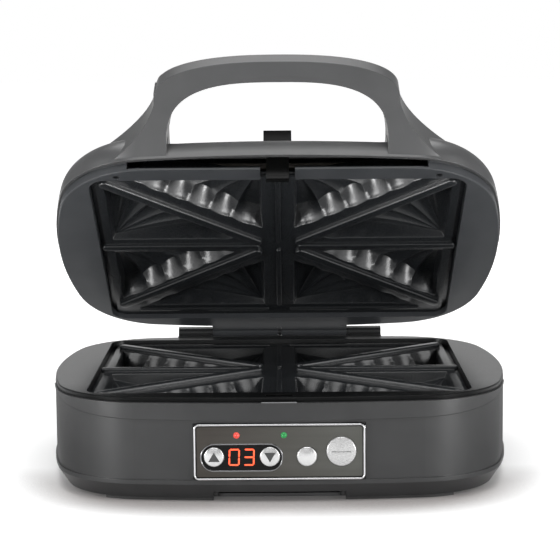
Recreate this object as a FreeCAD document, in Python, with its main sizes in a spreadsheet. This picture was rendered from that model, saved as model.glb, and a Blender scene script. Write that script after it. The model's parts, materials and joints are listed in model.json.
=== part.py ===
import FreeCAD, Part
import math
import os
import re

Vector = FreeCAD.Vector
Rotation = FreeCAD.Rotation

# Lengths in mm, angles in degrees; y and z are counted from the hinge axis, front is -y
sizes = {
    # pose of the whole part
    "hinge_back": 147.41,
    "hinge_high": 83.5,
    "lid_open": 35.63,
    # overlap of cutting tools past a face, and a reach past the whole part
    "beyond": 1.0,
    "far_out": 400.0,
    "near": 0.01,
    # plan outline shared by the base and the lid
    "plan_wide": 186.0,
    "plan_deep": 145.0,
    "plan_mid": -153.0,
    "side_bow": 350.0,
    "front_bow": 1100.0,
    "corner_bow": 74.0,
    # base housing
    "house_wall": 3.0,
    "band_step": 1.2,
    "house_top": -5.4,
    "crease_front": -19.2,
    "crease_slope": 8.9,
    "wall_low": -65.5,
    "strip_low": -69.0,
    "skirt_low": -81.0,
    "skirt_in": 8.0,
    "skirt_wall": 4.0,
    "ledge_top": -68.0,
    "notch_half": 51.0,
    "notch_high": 5.5,
    "floor_low": -83.5,
    # bottom cover, feet and their screws
    "cover_thick": 2.5,
    "fit_gap": 0.3,
    "foot_outer": 135.0,
    "foot_inset": 9.5,
    "foot_deep": 26.0,
    "boss_inset": 26.5,
    "boss_spread": 60.0,
    "boss_radius": 6.5,
    "boss_high": 14.0,
    "rib_thick": 4.0,
    "screw_radius": 1.6,
    "screw_head": 3.2,
    "head_thick": 1.6,
    "screw_play": 0.1,
    "screw_root": 0.2,
    "bore_end": 2.0,
    "tip_room": 0.4,
    "lift_radius": 4.0,
    "lift_inset": 5.0,
    # decks around the plates
    "deck_wide": 184.5,
    "deck_deep": 141.0,
    "deck_top": -1.8,
    "deck_edge": 0.8,
    "deck_lip": 4.0,
    "lip_gap": 0.4,
    "hole_half": 150.0,
    "hole_front": -273.0,
    "hole_back": -31.0,
    "hole_round": 14.0,
    "closed_gap": 1.0,
    "lid_front": -288.5,
    "lid_skin": 2.0,
    "recess_half": 118.0,
    "recess_wall": 2.0,
    "lug_wide": 12.0,
    "lug_thick": 4.0,
    "lug_reach": 10.0,
    "lug_root": 12.0,
    "lug_near": -105.0,
    "lug_far": -205.0,
    "tab_inset": 18.5,
    "tab_screw_inset": 14.5,
    # plates
    "plate_gap": 0.4,
    "plate_drop": 4.0,
    "plate_slab": 3.0,
    "plate_skin": 2.2,
    "cross_mid": -159.5,
    "cell_out": 139.6,
    "cell_in": 12.4,
    "cell_edge": 111.0,
    "front_tip": 121.0,
    "front_inner": 26.5,
    "side_tip": 34.0,
    "side_inner": 10.0,
    "side_outer": 98.5,
    "pocket_shallow": 6.0,
    "pocket_deep": 16.0,
    "pocket_draft": 3.0,
    "pocket_rise": 6.0,
    "shallow_draft": 0.8,
    "flute_count": 5,
    "flute_swell": 1.06,
    "flute_over": 1.25,
    "bar_wide": 8.5,
    "bar_in_x": 15.0,
    "bar_in_y": 6.5,
    "bar_out_x": 141.0,
    "bar_out_y": 107.0,
    "ridge_wide": 4.0,
    "ridge_high": 2.0,
    "rail_wide": 7.0,
    "rail_high": 3.0,
    "rail_end": 1.5,
    "spine_end": 2.0,
    "bar_round": 0.45,
    # heaters, sensors and heat shields
    "heater_radius": 3.3,
    "heater_side": 110.0,
    "heater_front": -250.0,
    "heater_back": -68.0,
    "heater_bend": 16.0,
    "heater_ends": 22.0,
    "sensor_radius": 7.0,
    "sensor_thick": 8.0,
    "shield_inset": 34.0,
    "shield_thick": 0.8,
    "shield_drop": 3.0,
    "post_radius": 5.0,
    "post_near": -100.0,
    "post_far": -219.0,
    "post_bore": 10.0,
    # hinge
    "knuckle_radius": 5.0,
    "pin_radius": 2.5,
    "pin_play": 0.06,
    "pin_press": 0.02,
    "pin_short": 0.4,
    "outer_start": 62.0,
    "outer_end": 92.4,
    "inner_start": 1.5,
    "inner_end": 61.2,
    "arm_front": -14.0,
    "arm_thick": 3.6,
    # control panel
    "panel_mid": -43.2,
    "panel_wide": 131.0,
    "panel_high": 43.6,
    "panel_front": -298.8,
    "panel_seat": -293.4,
    "frame_band": 2.2,
    "frame_round": 4.0,
    "fascia_front": -297.6,
    "fascia_gap": 0.1,
    "seat_margin": 4.4,
    "window_x": -28.9,
    "window_z": -47.6,
    "window_wide": 63.4,
    "window_high": 22.0,
    "trim_band": 1.1,
    "trim_proud": 0.3,
    "pill_round": 0.98,
    "window_front": -297.9,
    "key_radius": 7.6,
    "key_gap": 0.3,
    "key_up": -50.0,
    "key_down": -7.3,
    "key_row": -46.9,
    "more_x": 20.9,
    "start_x": 47.2,
    "start_z": -43.1,
    "start_radius": 11.4,
    "key_front": -300.0,
    "key_flange": 1.6,
    "key_flange_thick": 1.4,
    "key_travel": 1.2,
    "key_stem": 2.0,
    "key_round": 0.8,
    "stem_gap": 0.2,
    "switch_front": -283.0,
    "switch_half": 3.0,
    "board_front": -279.0,
    "board_thick": 1.6,
    "board_half": 60.0,
    "board_high": 34.0,
    "lamp_radius": 2.4,
    "lamp_z": -30.3,
    "lamp_red": -32.7,
    "lamp_green": 3.4,
    "lamp_front": -298.6,
    "lamp_dome": 1.0,
    "lamp_gap": 0.1,
    "lead_radius": 0.4,
    "lead_spread": 1.2,
    "digit_wide": 22.0,
    "digit_high": 17.0,
    "post_left": -57.0,
    "post_right": 58.0,
    "post_middle": 9.5,
    "post_upper": -28.5,
    "post_lower": -57.5,
    "pillar_radius": 2.6,
    "pillar_bore": 1.1,
    "pillar_deep": 6.0,
    "board_screw": 1.0,
    "board_head": 2.2,
    "board_head_thick": 1.4,
    # power board and cord inlet
    "power_x": -70.0,
    "power_y": -110.0,
    "power_wide": 90.0,
    "power_deep": 60.0,
    "power_lift": 5.0,
    "relay_wide": 19.0,
    "relay_high": 15.0,
    "relay_half": 8.0,
    "relay_first": -30.0,
    "relay_second": 10.0,
    "gland_x": 40.0,
    "gland_z": -55.0,
    "gland_radius": 7.0,
    "gland_rim": 9.5,
    "gland_bore": 3.6,
    "gland_seat": 0.45,
    "gland_lip": 4.0,
    "gland_deep": 8.0,
    "gland_press": 0.05,
    # lid cover
    "cover_low": 6.5,
    "cover_wall": 3.0,
    "cover_top": 38.4,
    "shoulder_round": 27.0,
    "lid_boss_top": 18.0,
    "lid_boss_radius": 4.5,
    "lid_boss_inset": 1.0,
    "lid_rib_half": 1.5,
    "lid_bore_end": 2.5,
    "porch_half": 86.0,
    "porch_high": 20.4,
    "porch_back": -278.0,
    "porch_slope": 26.0,
    "screw_x": 127.0,
    "screw_y": -277.6,
    "well_radius": 2.6,
    "well_deep": 4.0,
    "lid_head": 2.5,
    "head_sunk": 1.6,
    # arched handle
    "lean": 36.0,
    "lean_length": 140.0,
    "arch_sweep": 56.25,
    "grip_sweep": 40.0,
    "sweep_lead": 40.0,
    "sweep_length": 260.0,
    "lean_start": 6.8,
    "lean_inset": 1.6,
    "arch_plane": -340.0,
    "arch_half": 96.0,
    "arch_foot": 10.9,
    "arch_high": 53.5,
    "arch_power": 2.43,
    "flare_wide": 57.9,
    "flare_drop": 113.0,
    "flare_power": 1.61,
    "grip_half": 86.5,
    "grip_foot": -20.0,
    "grip_high": 64.3,
    "grip_power": 2.9,
    "back_slope": -27.0,
    "back_y": -307.0,
    "back_z": 66.0,
    # latch
    "latch_half": 11.0,
    "latch_front": -291.0,
    "latch_back": -279.0,
    "latch_top": 33.5,
    "latch_lift": 0.3,
    "flange_half": 15.6,
    "flange_thick": 1.2,
    "blade_half": 9.0,
    "blade_front": -284.5,
    "blade_thick": 2.6,
    "latch_foot_front": 2.0,
    "latch_foot_rear": 0.5,
    "toe_side": 1.5,
    "toe_reach": 3.0,
    "toe_low": -8.5,
    "toe_high": -6.0,
    "latch_travel": 3.5,
    "latch_room": 0.4,
    "latch_mouth": 13.6,
    "keeper_half": 13.5,
    "keeper_thick": 0.8,
    "keeper_gap": 0.2,
    "keeper_back": -288.3,
    "keeper_front": -297.9,
}

doc = FreeCAD.newDocument("SandwichMaker")
sheet = doc.addObject("Spreadsheet::Sheet", "Dims")
for row, (alias, size) in enumerate(sizes.items(), 1):
    sheet.set("A%d" % row, str(size))
    sheet.setAlias("A%d" % row, alias)
doc.recompute()

nodes = []


# value of one size read back from the sheet
def val(alias):
    return float(sheet.get(alias))


# sheet expression from a text of size names
def expr(text):
    def linked(found):
        word = found.group(0)
        return "Dims." + word if word in sizes else word
    return re.sub(r"[a-z]\w*", linked, str(text))


def bind(item, **links):
    for prop, text in links.items():
        item.setExpression(prop.replace("__", "."), expr(text))
    return item


def box(name, x, y, z):
    item = doc.addObject("Part::Box", name)
    for prop, span in (("Length", x), ("Width", y), ("Height", z)):
        item.setExpression(prop, expr("(%s) - (%s)" % (span[1], span[0])))
    return bind(item, Placement__Base__x=x[0], Placement__Base__y=y[0], Placement__Base__z=z[0])


def rod(name, axis, side, radius, span):
    item = doc.addObject("Part::Cylinder", name)
    turns = {"x": Rotation(Vector(0, 1, 0), 90), "y": Rotation(Vector(1, 0, 0), -90), "z": Rotation()}
    item.Placement = FreeCAD.Placement(Vector(), turns[axis])
    places = dict(zip("xyz".replace(axis, ""), side))
    places[axis] = span[0]
    item.setExpression("Radius", expr(radius))
    item.setExpression("Height", expr("(%s) - (%s)" % (span[1], span[0])))
    for key, text in places.items():
        item.setExpression("Placement.Base." + key, expr(text))
    return item


def fuse(name, items):
    item = doc.addObject("Part::MultiFuse", name)
    item.Shapes = items
    return item


def cut(name, base, tools):
    item = doc.addObject("Part::Cut", name)
    item.Base = base
    item.Tool = tools[0] if len(tools) == 1 else fuse(name + "_tools", tools)
    return item


def common(name, first, second):
    item = doc.addObject("Part::Common", name)
    item.Base = first
    item.Tool = second
    return item


# closed oval of eight tangent arcs: flat front and back, bowed sides, round corners
def oval(wide, deep, inset):
    side, front, turn = val("side_bow"), val("front_bow"), val("corner_bow")
    hub_side = Vector(wide - side, 0, 0)
    hub_front = Vector(0, deep - front, 0)
    apart = hub_front - hub_side
    reach_side, reach_front = side - turn, front - turn
    along = (reach_side ** 2 - reach_front ** 2 + apart.Length ** 2) / (2 * apart.Length)
    across = math.sqrt(reach_side ** 2 - along ** 2)
    unit = Vector(apart).normalize()
    hub = hub_side + unit * along + Vector(-unit.y, unit.x, 0) * across
    if hub.x < 0 or hub.y < 0:
        hub = hub_side + unit * along - Vector(-unit.y, unit.x, 0) * across
    to_side = (hub - hub_side).normalize()
    to_front = (hub - hub_front).normalize()
    bend_start = hub + to_side * (turn - inset)
    bend_mid = hub + (to_side + to_front).normalize() * (turn - inset)
    bend_end = hub + to_front * (turn - inset)
    middle = Vector(0, val("plan_mid"), 0)

    def place(point, sx, sy):
        return Vector(point.x * sx, point.y * sy, 0) + middle
    right = Vector(wide - inset, 0, 0)
    rear = Vector(0, deep - inset, 0)
    arcs = [(place(bend_start, 1, -1), place(right, 1, 1), place(bend_start, 1, 1)),
            (place(bend_start, 1, 1), place(bend_mid, 1, 1), place(bend_end, 1, 1)),
            (place(bend_end, 1, 1), place(rear, 1, 1), place(bend_end, -1, 1)),
            (place(bend_end, -1, 1), place(bend_mid, -1, 1), place(bend_start, -1, 1)),
            (place(bend_start, -1, 1), place(right, -1, 1), place(bend_start, -1, -1)),
            (place(bend_start, -1, -1), place(bend_mid, -1, -1), place(bend_end, -1, -1)),
            (place(bend_end, -1, -1), place(rear, 1, -1), place(bend_end, 1, -1)),
            (place(bend_end, 1, -1), place(bend_mid, 1, -1), place(bend_start, 1, -1))]
    return Part.Wire([Part.Arc(*points).toShape() for points in arcs])


def outline(name, inset, level, deck=False):
    item = doc.addObject("Part::Feature", name)
    wide = val("deck_wide") if deck else val("plan_wide")
    deep = val("deck_deep") if deck else val("plan_deep")
    item.Shape = oval(wide, deep, inset)
    return bind(item, Placement__Base__z=level)


def extrude(name, wire, length, way=Vector(0, 0, 1)):
    item = doc.addObject("Part::Extrusion", name)
    item.Base = wire
    item.DirMode = "Custom"
    item.Dir = way
    item.Solid = True
    return bind(item, LengthFwd=length)


def prism(name, inset, low, high, deck=False):
    wire = outline(name + "_line", inset, low, deck)
    return extrude(name, wire, "(%s) - (%s)" % (high, low))


def loft(name, levels, ruled=True, deck=False):
    item = doc.addObject("Part::Loft", name)
    item.Sections = [outline("%s_%d" % (name, n), inset, level, deck)
                     for n, (inset, level) in enumerate(levels)]
    item.Solid = True
    item.Ruled = ruled
    return item


# prism with its upper edge rounded all the way round
def round_top(name, item, reach):
    item.Base.recompute()
    item.recompute()
    top = max(edge.CenterOfMass.z for edge in item.Shape.Edges)
    rounder = doc.addObject("Part::Fillet", name)
    rounder.Base = item
    rounder.Edges = [(n + 1, reach, reach) for n, edge in enumerate(item.Shape.Edges)
                     if top - edge.CenterOfMass.z < val("near")]
    return rounder


# upright block with rounded corners in plan
def slab(name, half, front, back, bend, low, high):
    item = doc.addObject("Part::Feature", name + "_line")
    item.Shape = rounded([(-half, front), (half, front), (half, back), (-half, back)], bend)
    bind(item, Placement__Base__z=low)
    return extrude(name, item, "(%s) - (%s)" % (high, low))


def rounded(corners, bend):
    count = len(corners)
    points = [Vector(x, y, 0) for x, y in corners]
    edges = []
    ends = []
    for n in range(count):
        here = points[n]
        before = (points[n - 1] - here).normalize()
        after = (points[(n + 1) % count] - here).normalize()
        half = before.getAngle(after) / 2
        reach = bend / math.tan(half)
        middle = here + (before + after).normalize() * (bend / math.sin(half) - bend)
        ends.append((here + before * reach, middle, here + after * reach))
    for n in range(count):
        edges.append(Part.Arc(*ends[n]).toShape())
        nxt = ends[(n + 1) % count][0]
        if (nxt - ends[n][2]).Length > val("near"):
            edges.append(Part.makeLine(ends[n][2], nxt))
    return Part.Wire(edges)


# finished piece in the base, or swung with the lid
def node(item, label, lid=False):
    if item.TypeId in ("Part::Box", "Part::Cylinder"):
        item = plain(label, item)
    item.Label = label
    turn = "create(<<rotation>>; create(<<vector>>; -1; 0; 0); %s)" % ("Dims.lid_open" if lid else "0")
    spot = "create(<<vector>>; 0; Dims.hinge_back; Dims.hinge_high)"
    item.setExpression("Placement", "create(<<placement>>; %s; %s)" % (spot, turn))
    nodes.append(item)


# same shape seen in the closed lid, mirrored about the middle of the closed gap
def flipped(name, source):
    item = doc.addObject("Part::Mirroring", name)
    item.Source = source
    item.Normal = Vector(0, 0, 1)
    item.Base = Vector(0, 0, val("deck_top") + val("closed_gap") / 2)
    return item


def plain(name, source):
    item = doc.addObject("Part::Refine", name)
    item.Source = source
    return item


# cutting block whose lower face, or upper face when sunk, lies in a slope through one point
def tilted(name, half, angle, y, z, sunk=False):
    far = val("far_out")
    item = doc.addObject("Part::Box", name)
    item.Length = 2 * half
    item.Width = 2 * far
    item.Height = far
    turn = Rotation(Vector(1, 0, 0), angle)
    corner_gap = turn.multVec(Vector(0, far, far if sunk else 0))
    item.Placement = FreeCAD.Placement(Vector(-half, y, z) - corner_gap, turn)
    return item


skin = val("band_step") + val("house_wall")
ring = val("skirt_in") + val("skirt_wall")
sides = (("left", "-"), ("right", ""))
boss_side = "(plan_wide - boss_inset)"
tab_side = "(plan_wide - tab_inset)"
tab_screw = "(plan_wide - tab_screw_inset)"
lug_tip = "(hole_half + lug_reach)"
lug_root = "(hole_half - lug_root)"
back_face = "plan_mid + plan_deep - band_step"
boss_top = "skirt_low + cover_thick + boss_high"
tab_low = "house_top - deck_lip - lug_thick"
tab_top = "house_top - deck_lip"

# base housing: front band over a recessed wall, strip and undercut skirt, open at the top and below
wall = prism("wall", val("band_step"), "wall_low - beyond/2", "house_top")
band_full = prism("band_full", 0.0, "crease_front - beyond", "house_top")
front_edge = val("plan_mid") - val("plan_deep")
below = tilted("below_crease", val("far_out"), val("crease_slope"), front_edge, val("crease_front"), True)
band = cut("band", band_full, [below])
strip = prism("strip", 0.0, "strip_low", "wall_low")
skirt = loft("skirt", [(0.0, "strip_low"), (val("skirt_in"), "skirt_low")])
shell = fuse("shell", [wall, band, strip, skirt])
room = prism("room", skin, "ledge_top", "house_top + beyond")
well = prism("well", ring, "skirt_low - beyond", "ledge_top")
seat_low = "panel_mid - panel_high/2 - fit_gap"
seat_high = "panel_mid + panel_high/2 + fit_gap"
seat = box("seat", ("-panel_wide/2 - fit_gap", "panel_wide/2 + fit_gap"), ("-far_out", "panel_seat"),
           (seat_low, seat_high))
window = box("opening", ("-panel_wide/2 + seat_margin", "panel_wide/2 - seat_margin"),
             ("-far_out", "panel_seat + house_wall"),
             ("panel_mid - panel_high/2 + seat_margin", "panel_mid + panel_high/2 - seat_margin"))
notch = box("notch", ("-notch_half", "notch_half"),
            ("-far_out", "plan_mid - plan_deep + skirt_in + skirt_wall + beyond"),
            ("skirt_low - beyond", "skirt_low + notch_high"))
gland_hole = rod("gland_hole", "y", ("gland_x", "gland_z"), "gland_radius",
                 (back_face + " - house_wall*2", back_face + " + band_step + beyond"))
hollow = cut("hollow", shell, [room, well, seat, window, notch, gland_hole])
posts = []
holes = []
tabs = []
tab_holes = []
for side, sign in sides:
    for end, move in (("front", "-"), ("rear", "+")):
        spot = (sign + boss_side, "plan_mid %s boss_spread" % move)
        tag = side + "_" + end
        posts.append(rod("boss_" + tag, "z", spot, "boss_radius", ("skirt_low + cover_thick", boss_top)))
        rib = ("-plan_wide", "-" + boss_side) if sign else (boss_side, "plan_wide")
        posts.append(box("rib_" + tag, rib, (spot[1] + " - rib_thick/2", spot[1] + " + rib_thick/2"),
                         ("skirt_low + cover_thick", boss_top)))
        holes.append(rod("bore_" + tag, "z", spot, "screw_radius + screw_play",
                         ("skirt_low - beyond", boss_top + " - bore_end")))
        reach = ("-plan_wide", "-" + tab_side) if sign else (tab_side, "plan_wide")
        tabs.append(box("tab_" + tag, reach, (spot[1] + " - lug_wide/2", spot[1] + " + lug_wide/2"),
                        (tab_low, tab_top)))
        tab_holes.append(rod("tab_bore_" + tag, "z", (sign + tab_screw, spot[1]),
                             "screw_radius + screw_play", (tab_low + " - beyond", "deck_top - bore_end")))
core = prism("core", val("band_step") + val("house_wall") / 2, "strip_low", "house_top")
core_low = prism("core_low", ring - val("beyond"), "skirt_low", "strip_low")
fittings = common("fittings", fuse("fittings_all", posts + tabs), fuse("cores", [core, core_low]))
housing = cut("housing", fuse("housing_body", [hollow, fittings]), holes + tab_holes)
node(housing, "base_housing")

# bottom cover with its screws and four wide feet
bottom = prism("bottom_plate", ring + val("fit_gap"), "skirt_low", "skirt_low + cover_thick")
lifts = []
for n, (dx, dy) in enumerate(((-1, -1), (-1, 1), (1, -1), (1, 1))):
    place = ("power_x + %d*(power_wide/2 - lift_inset)" % dx,
             "power_y + %d*(power_deep/2 - lift_inset)" % dy)
    lifts.append(rod("lift_%d" % n, "z", place, "lift_radius",
                     ("skirt_low + cover_thick - beyond/2", "skirt_low + cover_thick + power_lift")))
node(cut("bottom", fuse("bottom_body", [bottom] + lifts), holes), "bottom_cover")
screws = []
for n, bore in enumerate(holes):
    x, y = ("-" + boss_side, boss_side)[n // 2], "plan_mid %s boss_spread" % "-+"[n % 2]
    screws.append(rod("bottom_head_%d" % n, "z", (x, y), "screw_head",
                      ("skirt_low - head_thick", "skirt_low")))
    screws.append(rod("bottom_shank_%d" % n, "z", (x, y), "screw_radius",
                      ("skirt_low - screw_root", boss_top + " - bore_end - tip_room")))
node(fuse("bottom_fixings", screws), "bottom_screws")
sole = prism("sole", val("foot_inset"), "floor_low", "skirt_low")
pads = []
for side, sign in sides:
    x = ("-foot_outer", "-notch_half") if sign else ("notch_half", "foot_outer")
    pads.append(box("pad_front_" + side, x, ("-far_out", "plan_mid - plan_deep + foot_inset + foot_deep"),
                    ("floor_low - beyond", "skirt_low + beyond")))
    pads.append(box("pad_rear_" + side, x, ("plan_mid + plan_deep - foot_inset - foot_deep", "far_out"),
                    ("floor_low - beyond", "skirt_low + beyond")))
node(common("feet", sole, fuse("pads", pads)), "rubber_feet")


# frame around a plate, with a bevelled visible edge and a lip inside the shell
def deck(name, lip_inset, rise):
    hole = slab(name + "_hole", val("hole_half"), val("hole_front"), val("hole_back"), val("hole_round"),
                "deck_top - far_out", "deck_top + beyond")
    bevel = loft(name + "_bevel", [(0.0, "deck_top - deck_edge"), (val("deck_edge"), "deck_top")],
                 True, True)
    flat = prism(name + "_flat", 0.0, "deck_top - (%s)" % rise, "deck_top - deck_edge", True)
    lip = prism(name + "_lip", lip_inset, "deck_top - (%s) - deck_lip" % rise, "deck_top - (%s)" % rise)
    return fuse(name + "_solid", [bevel, flat, lip]), hole


def knuckles(name, start, end):
    parts = []
    for side, sign in sides:
        span = ("-%s" % end, "-%s" % start) if sign else (start, end)
        parts.append(rod(name + "_roll_" + side, "x", ("0", "0"), "knuckle_radius", span))
        parts.append(box(name + "_arm_" + side, span, ("arm_front", "0"),
                         ("deck_top - arm_thick", "deck_top")))
    return parts


# base deck, its keeper for the latch and its screws
body, hole = deck("base_deck", skin + val("lip_gap"), "deck_top - house_top")
keeper_room = box("keeper_room", ("-keeper_half - keeper_gap", "keeper_half + keeper_gap"),
                  ("-far_out", "keeper_back + keeper_gap"),
                  ("house_top - keeper_gap/2", "house_top + keeper_thick + keeper_gap/2"))
blade_back = "blade_front + blade_thick + latch_room"
toe_room = box("toe_room", ("-blade_half - toe_side", "blade_half + toe_side"),
               ("blade_front - toe_reach - latch_travel - beyond", blade_back),
               (tab_top + " - beyond", "house_top + keeper_gap/2"))
blade_room = box("blade_room", ("-blade_half - toe_side", "blade_half + toe_side"),
                 ("keeper_back", blade_back), ("house_top - beyond", "deck_top + beyond"))
outer_rolls = fuse("outer_rolls", knuckles("outer", "outer_start", "outer_end"))
press_bore = rod("press_bore", "x", ("0", "0"), "pin_radius + pin_press", ("-far_out", "far_out"))
lugs_low = []
lug_bores = []
lug_rooms = []
lug_screws = []
for side, sign in sides:
    for spot in ("lug_near", "lug_far"):
        tag = "%s_%s" % (side, spot)
        inner = ("-" + lug_tip, "-" + lug_root) if sign else (lug_root, lug_tip)
        lugs_low.append(box(tag, inner, (spot + " - lug_wide/2", spot + " + lug_wide/2"),
                            (tab_low, tab_top)))
        room_tip = lug_tip + " + fit_gap"
        room_x = ("-(%s)" % room_tip, "-" + lug_root) if sign else (lug_root, room_tip)
        lug_rooms.append(box("room_" + tag, room_x,
                             (spot + " - lug_wide/2 - fit_gap", spot + " + lug_wide/2 + fit_gap"),
                             (tab_low + " - beyond", tab_top)))
        place = ("%s(hole_half + lug_reach/2)" % sign, spot)
        lug_bores.append(rod("lug_bore_" + tag, "z", place, "screw_radius + screw_play",
                             (tab_low + " - beyond", "deck_top - bore_end")))
        lug_screws.append(rod("lug_head_" + tag, "z", place, "screw_head",
                              (tab_low + " - head_thick", tab_low)))
        lug_screws.append(rod("lug_shank_" + tag, "z", place, "screw_radius",
                              (tab_low + " - screw_root", "deck_top - bore_end - tip_room")))
base_deck = cut("base_frame", fuse("base_frame_body", [body, outer_rolls]),
                [hole, keeper_room, toe_room, blade_room, press_bore] + lug_bores + tab_holes)
node(base_deck, "base_deck")
node(box("catch", ("-keeper_half", "keeper_half"), ("keeper_front", "keeper_back"),
         ("house_top", "house_top + keeper_thick")), "latch_keeper")
deck_screws = []
for side, sign in sides:
    for move in "-+":
        place = (sign + tab_screw, "plan_mid %s boss_spread" % move)
        tag = "%s_%d" % (side, move == "+")
        deck_screws.append(rod("deck_head_" + tag, "z", place, "screw_head",
                               (tab_low + " - head_thick", tab_low)))
        deck_screws.append(rod("deck_shank_" + tag, "z", place, "screw_radius",
                               (tab_low + " - screw_root", "deck_top - bore_end - tip_room")))
node(fuse("deck_fixings", deck_screws), "deck_screws")
pin = rod("pin", "x", ("0", "0"), "pin_radius", ("-outer_end + pin_short", "outer_end - pin_short"))
node(pin, "hinge_pin")


# triangle grown outwards by a margin on every side
def grown(points, margin):
    out = []
    count = len(points)
    mid = sum(points, Vector()) * (1.0 / count)
    lines = []
    for n in range(count):
        start, end = points[n], points[(n + 1) % count]
        along = (end - start).normalize()
        normal = Vector(along.y, -along.x, 0)
        if normal.dot(mid - start) > 0:
            normal = normal * -1
        lines.append((start + normal * margin, along))
    for n in range(count):
        (p, u), (q, w) = lines[n - 1], lines[n]
        cross = u.x * w.y - u.y * w.x
        reach = ((q - p).x * w.y - (q - p).y * w.x) / cross
        out.append(p + u * reach)
    return out


def drafted(points, top, low, draft):
    levels = []
    for height, margin in ((top, 0.0), (low, -draft)):
        ring_points = [Vector(p.x, p.y, height) for p in grown(points, margin)]
        levels.append(Part.makePolygon(ring_points + ring_points[:1]))
    return Part.makeLoft(levels, True, True)


# one toast pocket: shallow at its square corner, fluted like a shell towards its long side
def pocket(square, first, last, rim):
    points = [square, first, last]
    top = rim + val("pocket_rise")
    tool = drafted(points, top, rim - val("pocket_shallow"), val("shallow_draft"))
    full = drafted(points, top, rim - val("pocket_deep"), val("pocket_draft"))
    count = int(val("flute_count"))
    apex = Vector(square.x, square.y, rim - val("pocket_shallow") + val("beyond"))
    for n in range(count):
        near = first + (last - first) * (n / count)
        far = first + (last - first) * ((n + 1) / count)
        aim = (near + far) * 0.5
        flat = aim - square
        half = (near - square).getAngle(far - square) / 2
        radius = flat.Length * math.tan(half) * val("flute_swell")
        foot = Vector(aim.x, aim.y, rim - val("pocket_deep") + radius)
        way = foot - apex
        over = val("flute_over")
        cone = Part.makeCone(0.0, radius * over, way.Length * over, apex, way)
        tool = tool.fuse(cone.common(full))
    return tool.removeSplitter()


def four_ways(shape):
    across = shape.mirror(Vector(0, 0, 0), Vector(1, 0, 0))
    pair = [shape, across]
    return pair + [s.mirror(Vector(0, val("cross_mid"), 0), Vector(0, 1, 0)) for s in pair]


def corner(x, y):
    return Vector(val(x), val("cross_mid") + val(y), 0)


# cast plate with eight shell pockets between raised cutting bars
rim_level = val("deck_top") - val("plate_drop")
front_cell = [("cell_in", "cell_edge"), ("front_tip", "cell_edge"), ("cell_in", "front_inner")]
side_cell = [("cell_out", "side_inner"), ("cell_out", "side_outer"), ("side_tip", "side_inner")]
triangles = [[corner(x, y) for x, y in cell] for cell in (front_cell, side_cell)]
tools = []
skins = []
for points in triangles:
    tools += four_ways(pocket(*points, rim_level))
    outer = grown(points, val("plate_skin"))
    skins += four_ways(drafted(outer, rim_level - val("beyond"),
                               rim_level - val("pocket_deep") - val("plate_skin"), val("pocket_draft")))
pockets = doc.addObject("Part::Feature", "pockets")
pockets.Shape = Part.makeCompound(tools)
bowls = doc.addObject("Part::Feature", "bowls")
bowls.Shape = Part.makeCompound(skins)
shy = val("plate_gap")
base_slab = slab("plate_slab_body", val("hole_half") - shy, val("hole_front") + shy,
                 val("hole_back") - shy, val("hole_round") - shy,
                 "deck_top - plate_drop - plate_slab", "deck_top - plate_drop")


def bar(name, start, end, width, high):
    way = end - start
    side = Vector(-way.y, way.x, 0).normalize() * (width / 2)
    item = doc.addObject("Part::Feature", name)
    ring_points = [(p.x, p.y) for p in (start + side, start - side, end - side, end + side)]
    item.Shape = rounded(ring_points, width * val("bar_round"))
    bind(item, Placement__Base__z="deck_top - plate_drop - beyond")
    return extrude(name + "_body", item, "(%s) + beyond" % high)


bars = []
middle = val("cross_mid")
for n, (sx, sy) in enumerate(((1, 1), (-1, 1), (1, -1), (-1, -1))):
    start = Vector(sx * val("bar_in_x"), middle + sy * val("bar_in_y"), 0)
    end = Vector(sx * val("bar_out_x"), middle + sy * val("bar_out_y"), 0)
    bars.append(bar("diagonal_%d" % n, start, end, val("bar_wide"), "plate_drop"))
for n, sx in enumerate((1, -1)):
    inner = Vector(sx * val("side_tip"), middle, 0)
    outer = Vector(sx * (val("hole_half") - val("rail_end")), middle, 0)
    bars.append(bar("rail_%d" % n, inner, outer, val("rail_wide"), "rail_high"))
for n, sy in enumerate((1, -1)):
    inner = Vector(0, middle + sy * val("bar_in_y"), 0)
    outer = Vector(0, middle + sy * (val("cell_edge") - val("spine_end")), 0)
    bars.append(bar("spine_%d" % n, inner, outer, val("ridge_wide"), "ridge_high"))
post_low = "deck_top - plate_drop - pocket_deep - plate_skin - heater_radius*2 - shield_drop"
stems = []
stem_bores = []
for spot in ("post_near", "post_far"):
    stems.append(rod("stem_" + spot, "z", ("0", spot), "post_radius",
                     (post_low, "deck_top - plate_drop - plate_slab/2")))
    stem_bores.append(rod("stem_bore_" + spot, "z", ("0", spot), "screw_radius + screw_play",
                          (post_low + " - shield_thick - beyond", post_low + " + post_bore")))
casting = cut("casting", fuse("casting_body", [base_slab, bowls] + lugs_low), [pockets])
plate = cut("plate", fuse("plate_body", [casting] + bars + stems), stem_bores + lug_bores)

# tubular heater bent in an open loop under the pockets
heat_low = "deck_top - plate_drop - pocket_deep - plate_skin - heater_radius"
bend = val("heater_bend")
side = val("heater_side")
front, back, ends = val("heater_front"), val("heater_back"), val("heater_ends")
loop = []


def leg(x0, y0, x1, y1):
    loop.append(Part.makeLine(Vector(x0, y0, 0), Vector(x1, y1, 0)))


def elbow(x, y, sx, sy, inward):
    mid = Vector(x - sx * bend * (1 - math.sqrt(0.5)), y - sy * bend * (1 - math.sqrt(0.5)), 0)
    first, last = Vector(x - sx * bend, y, 0), Vector(x, y - sy * bend, 0)
    points = (first, mid, last) if inward else (last, mid, first)
    loop.append(Part.Arc(*points).toShape())


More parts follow.
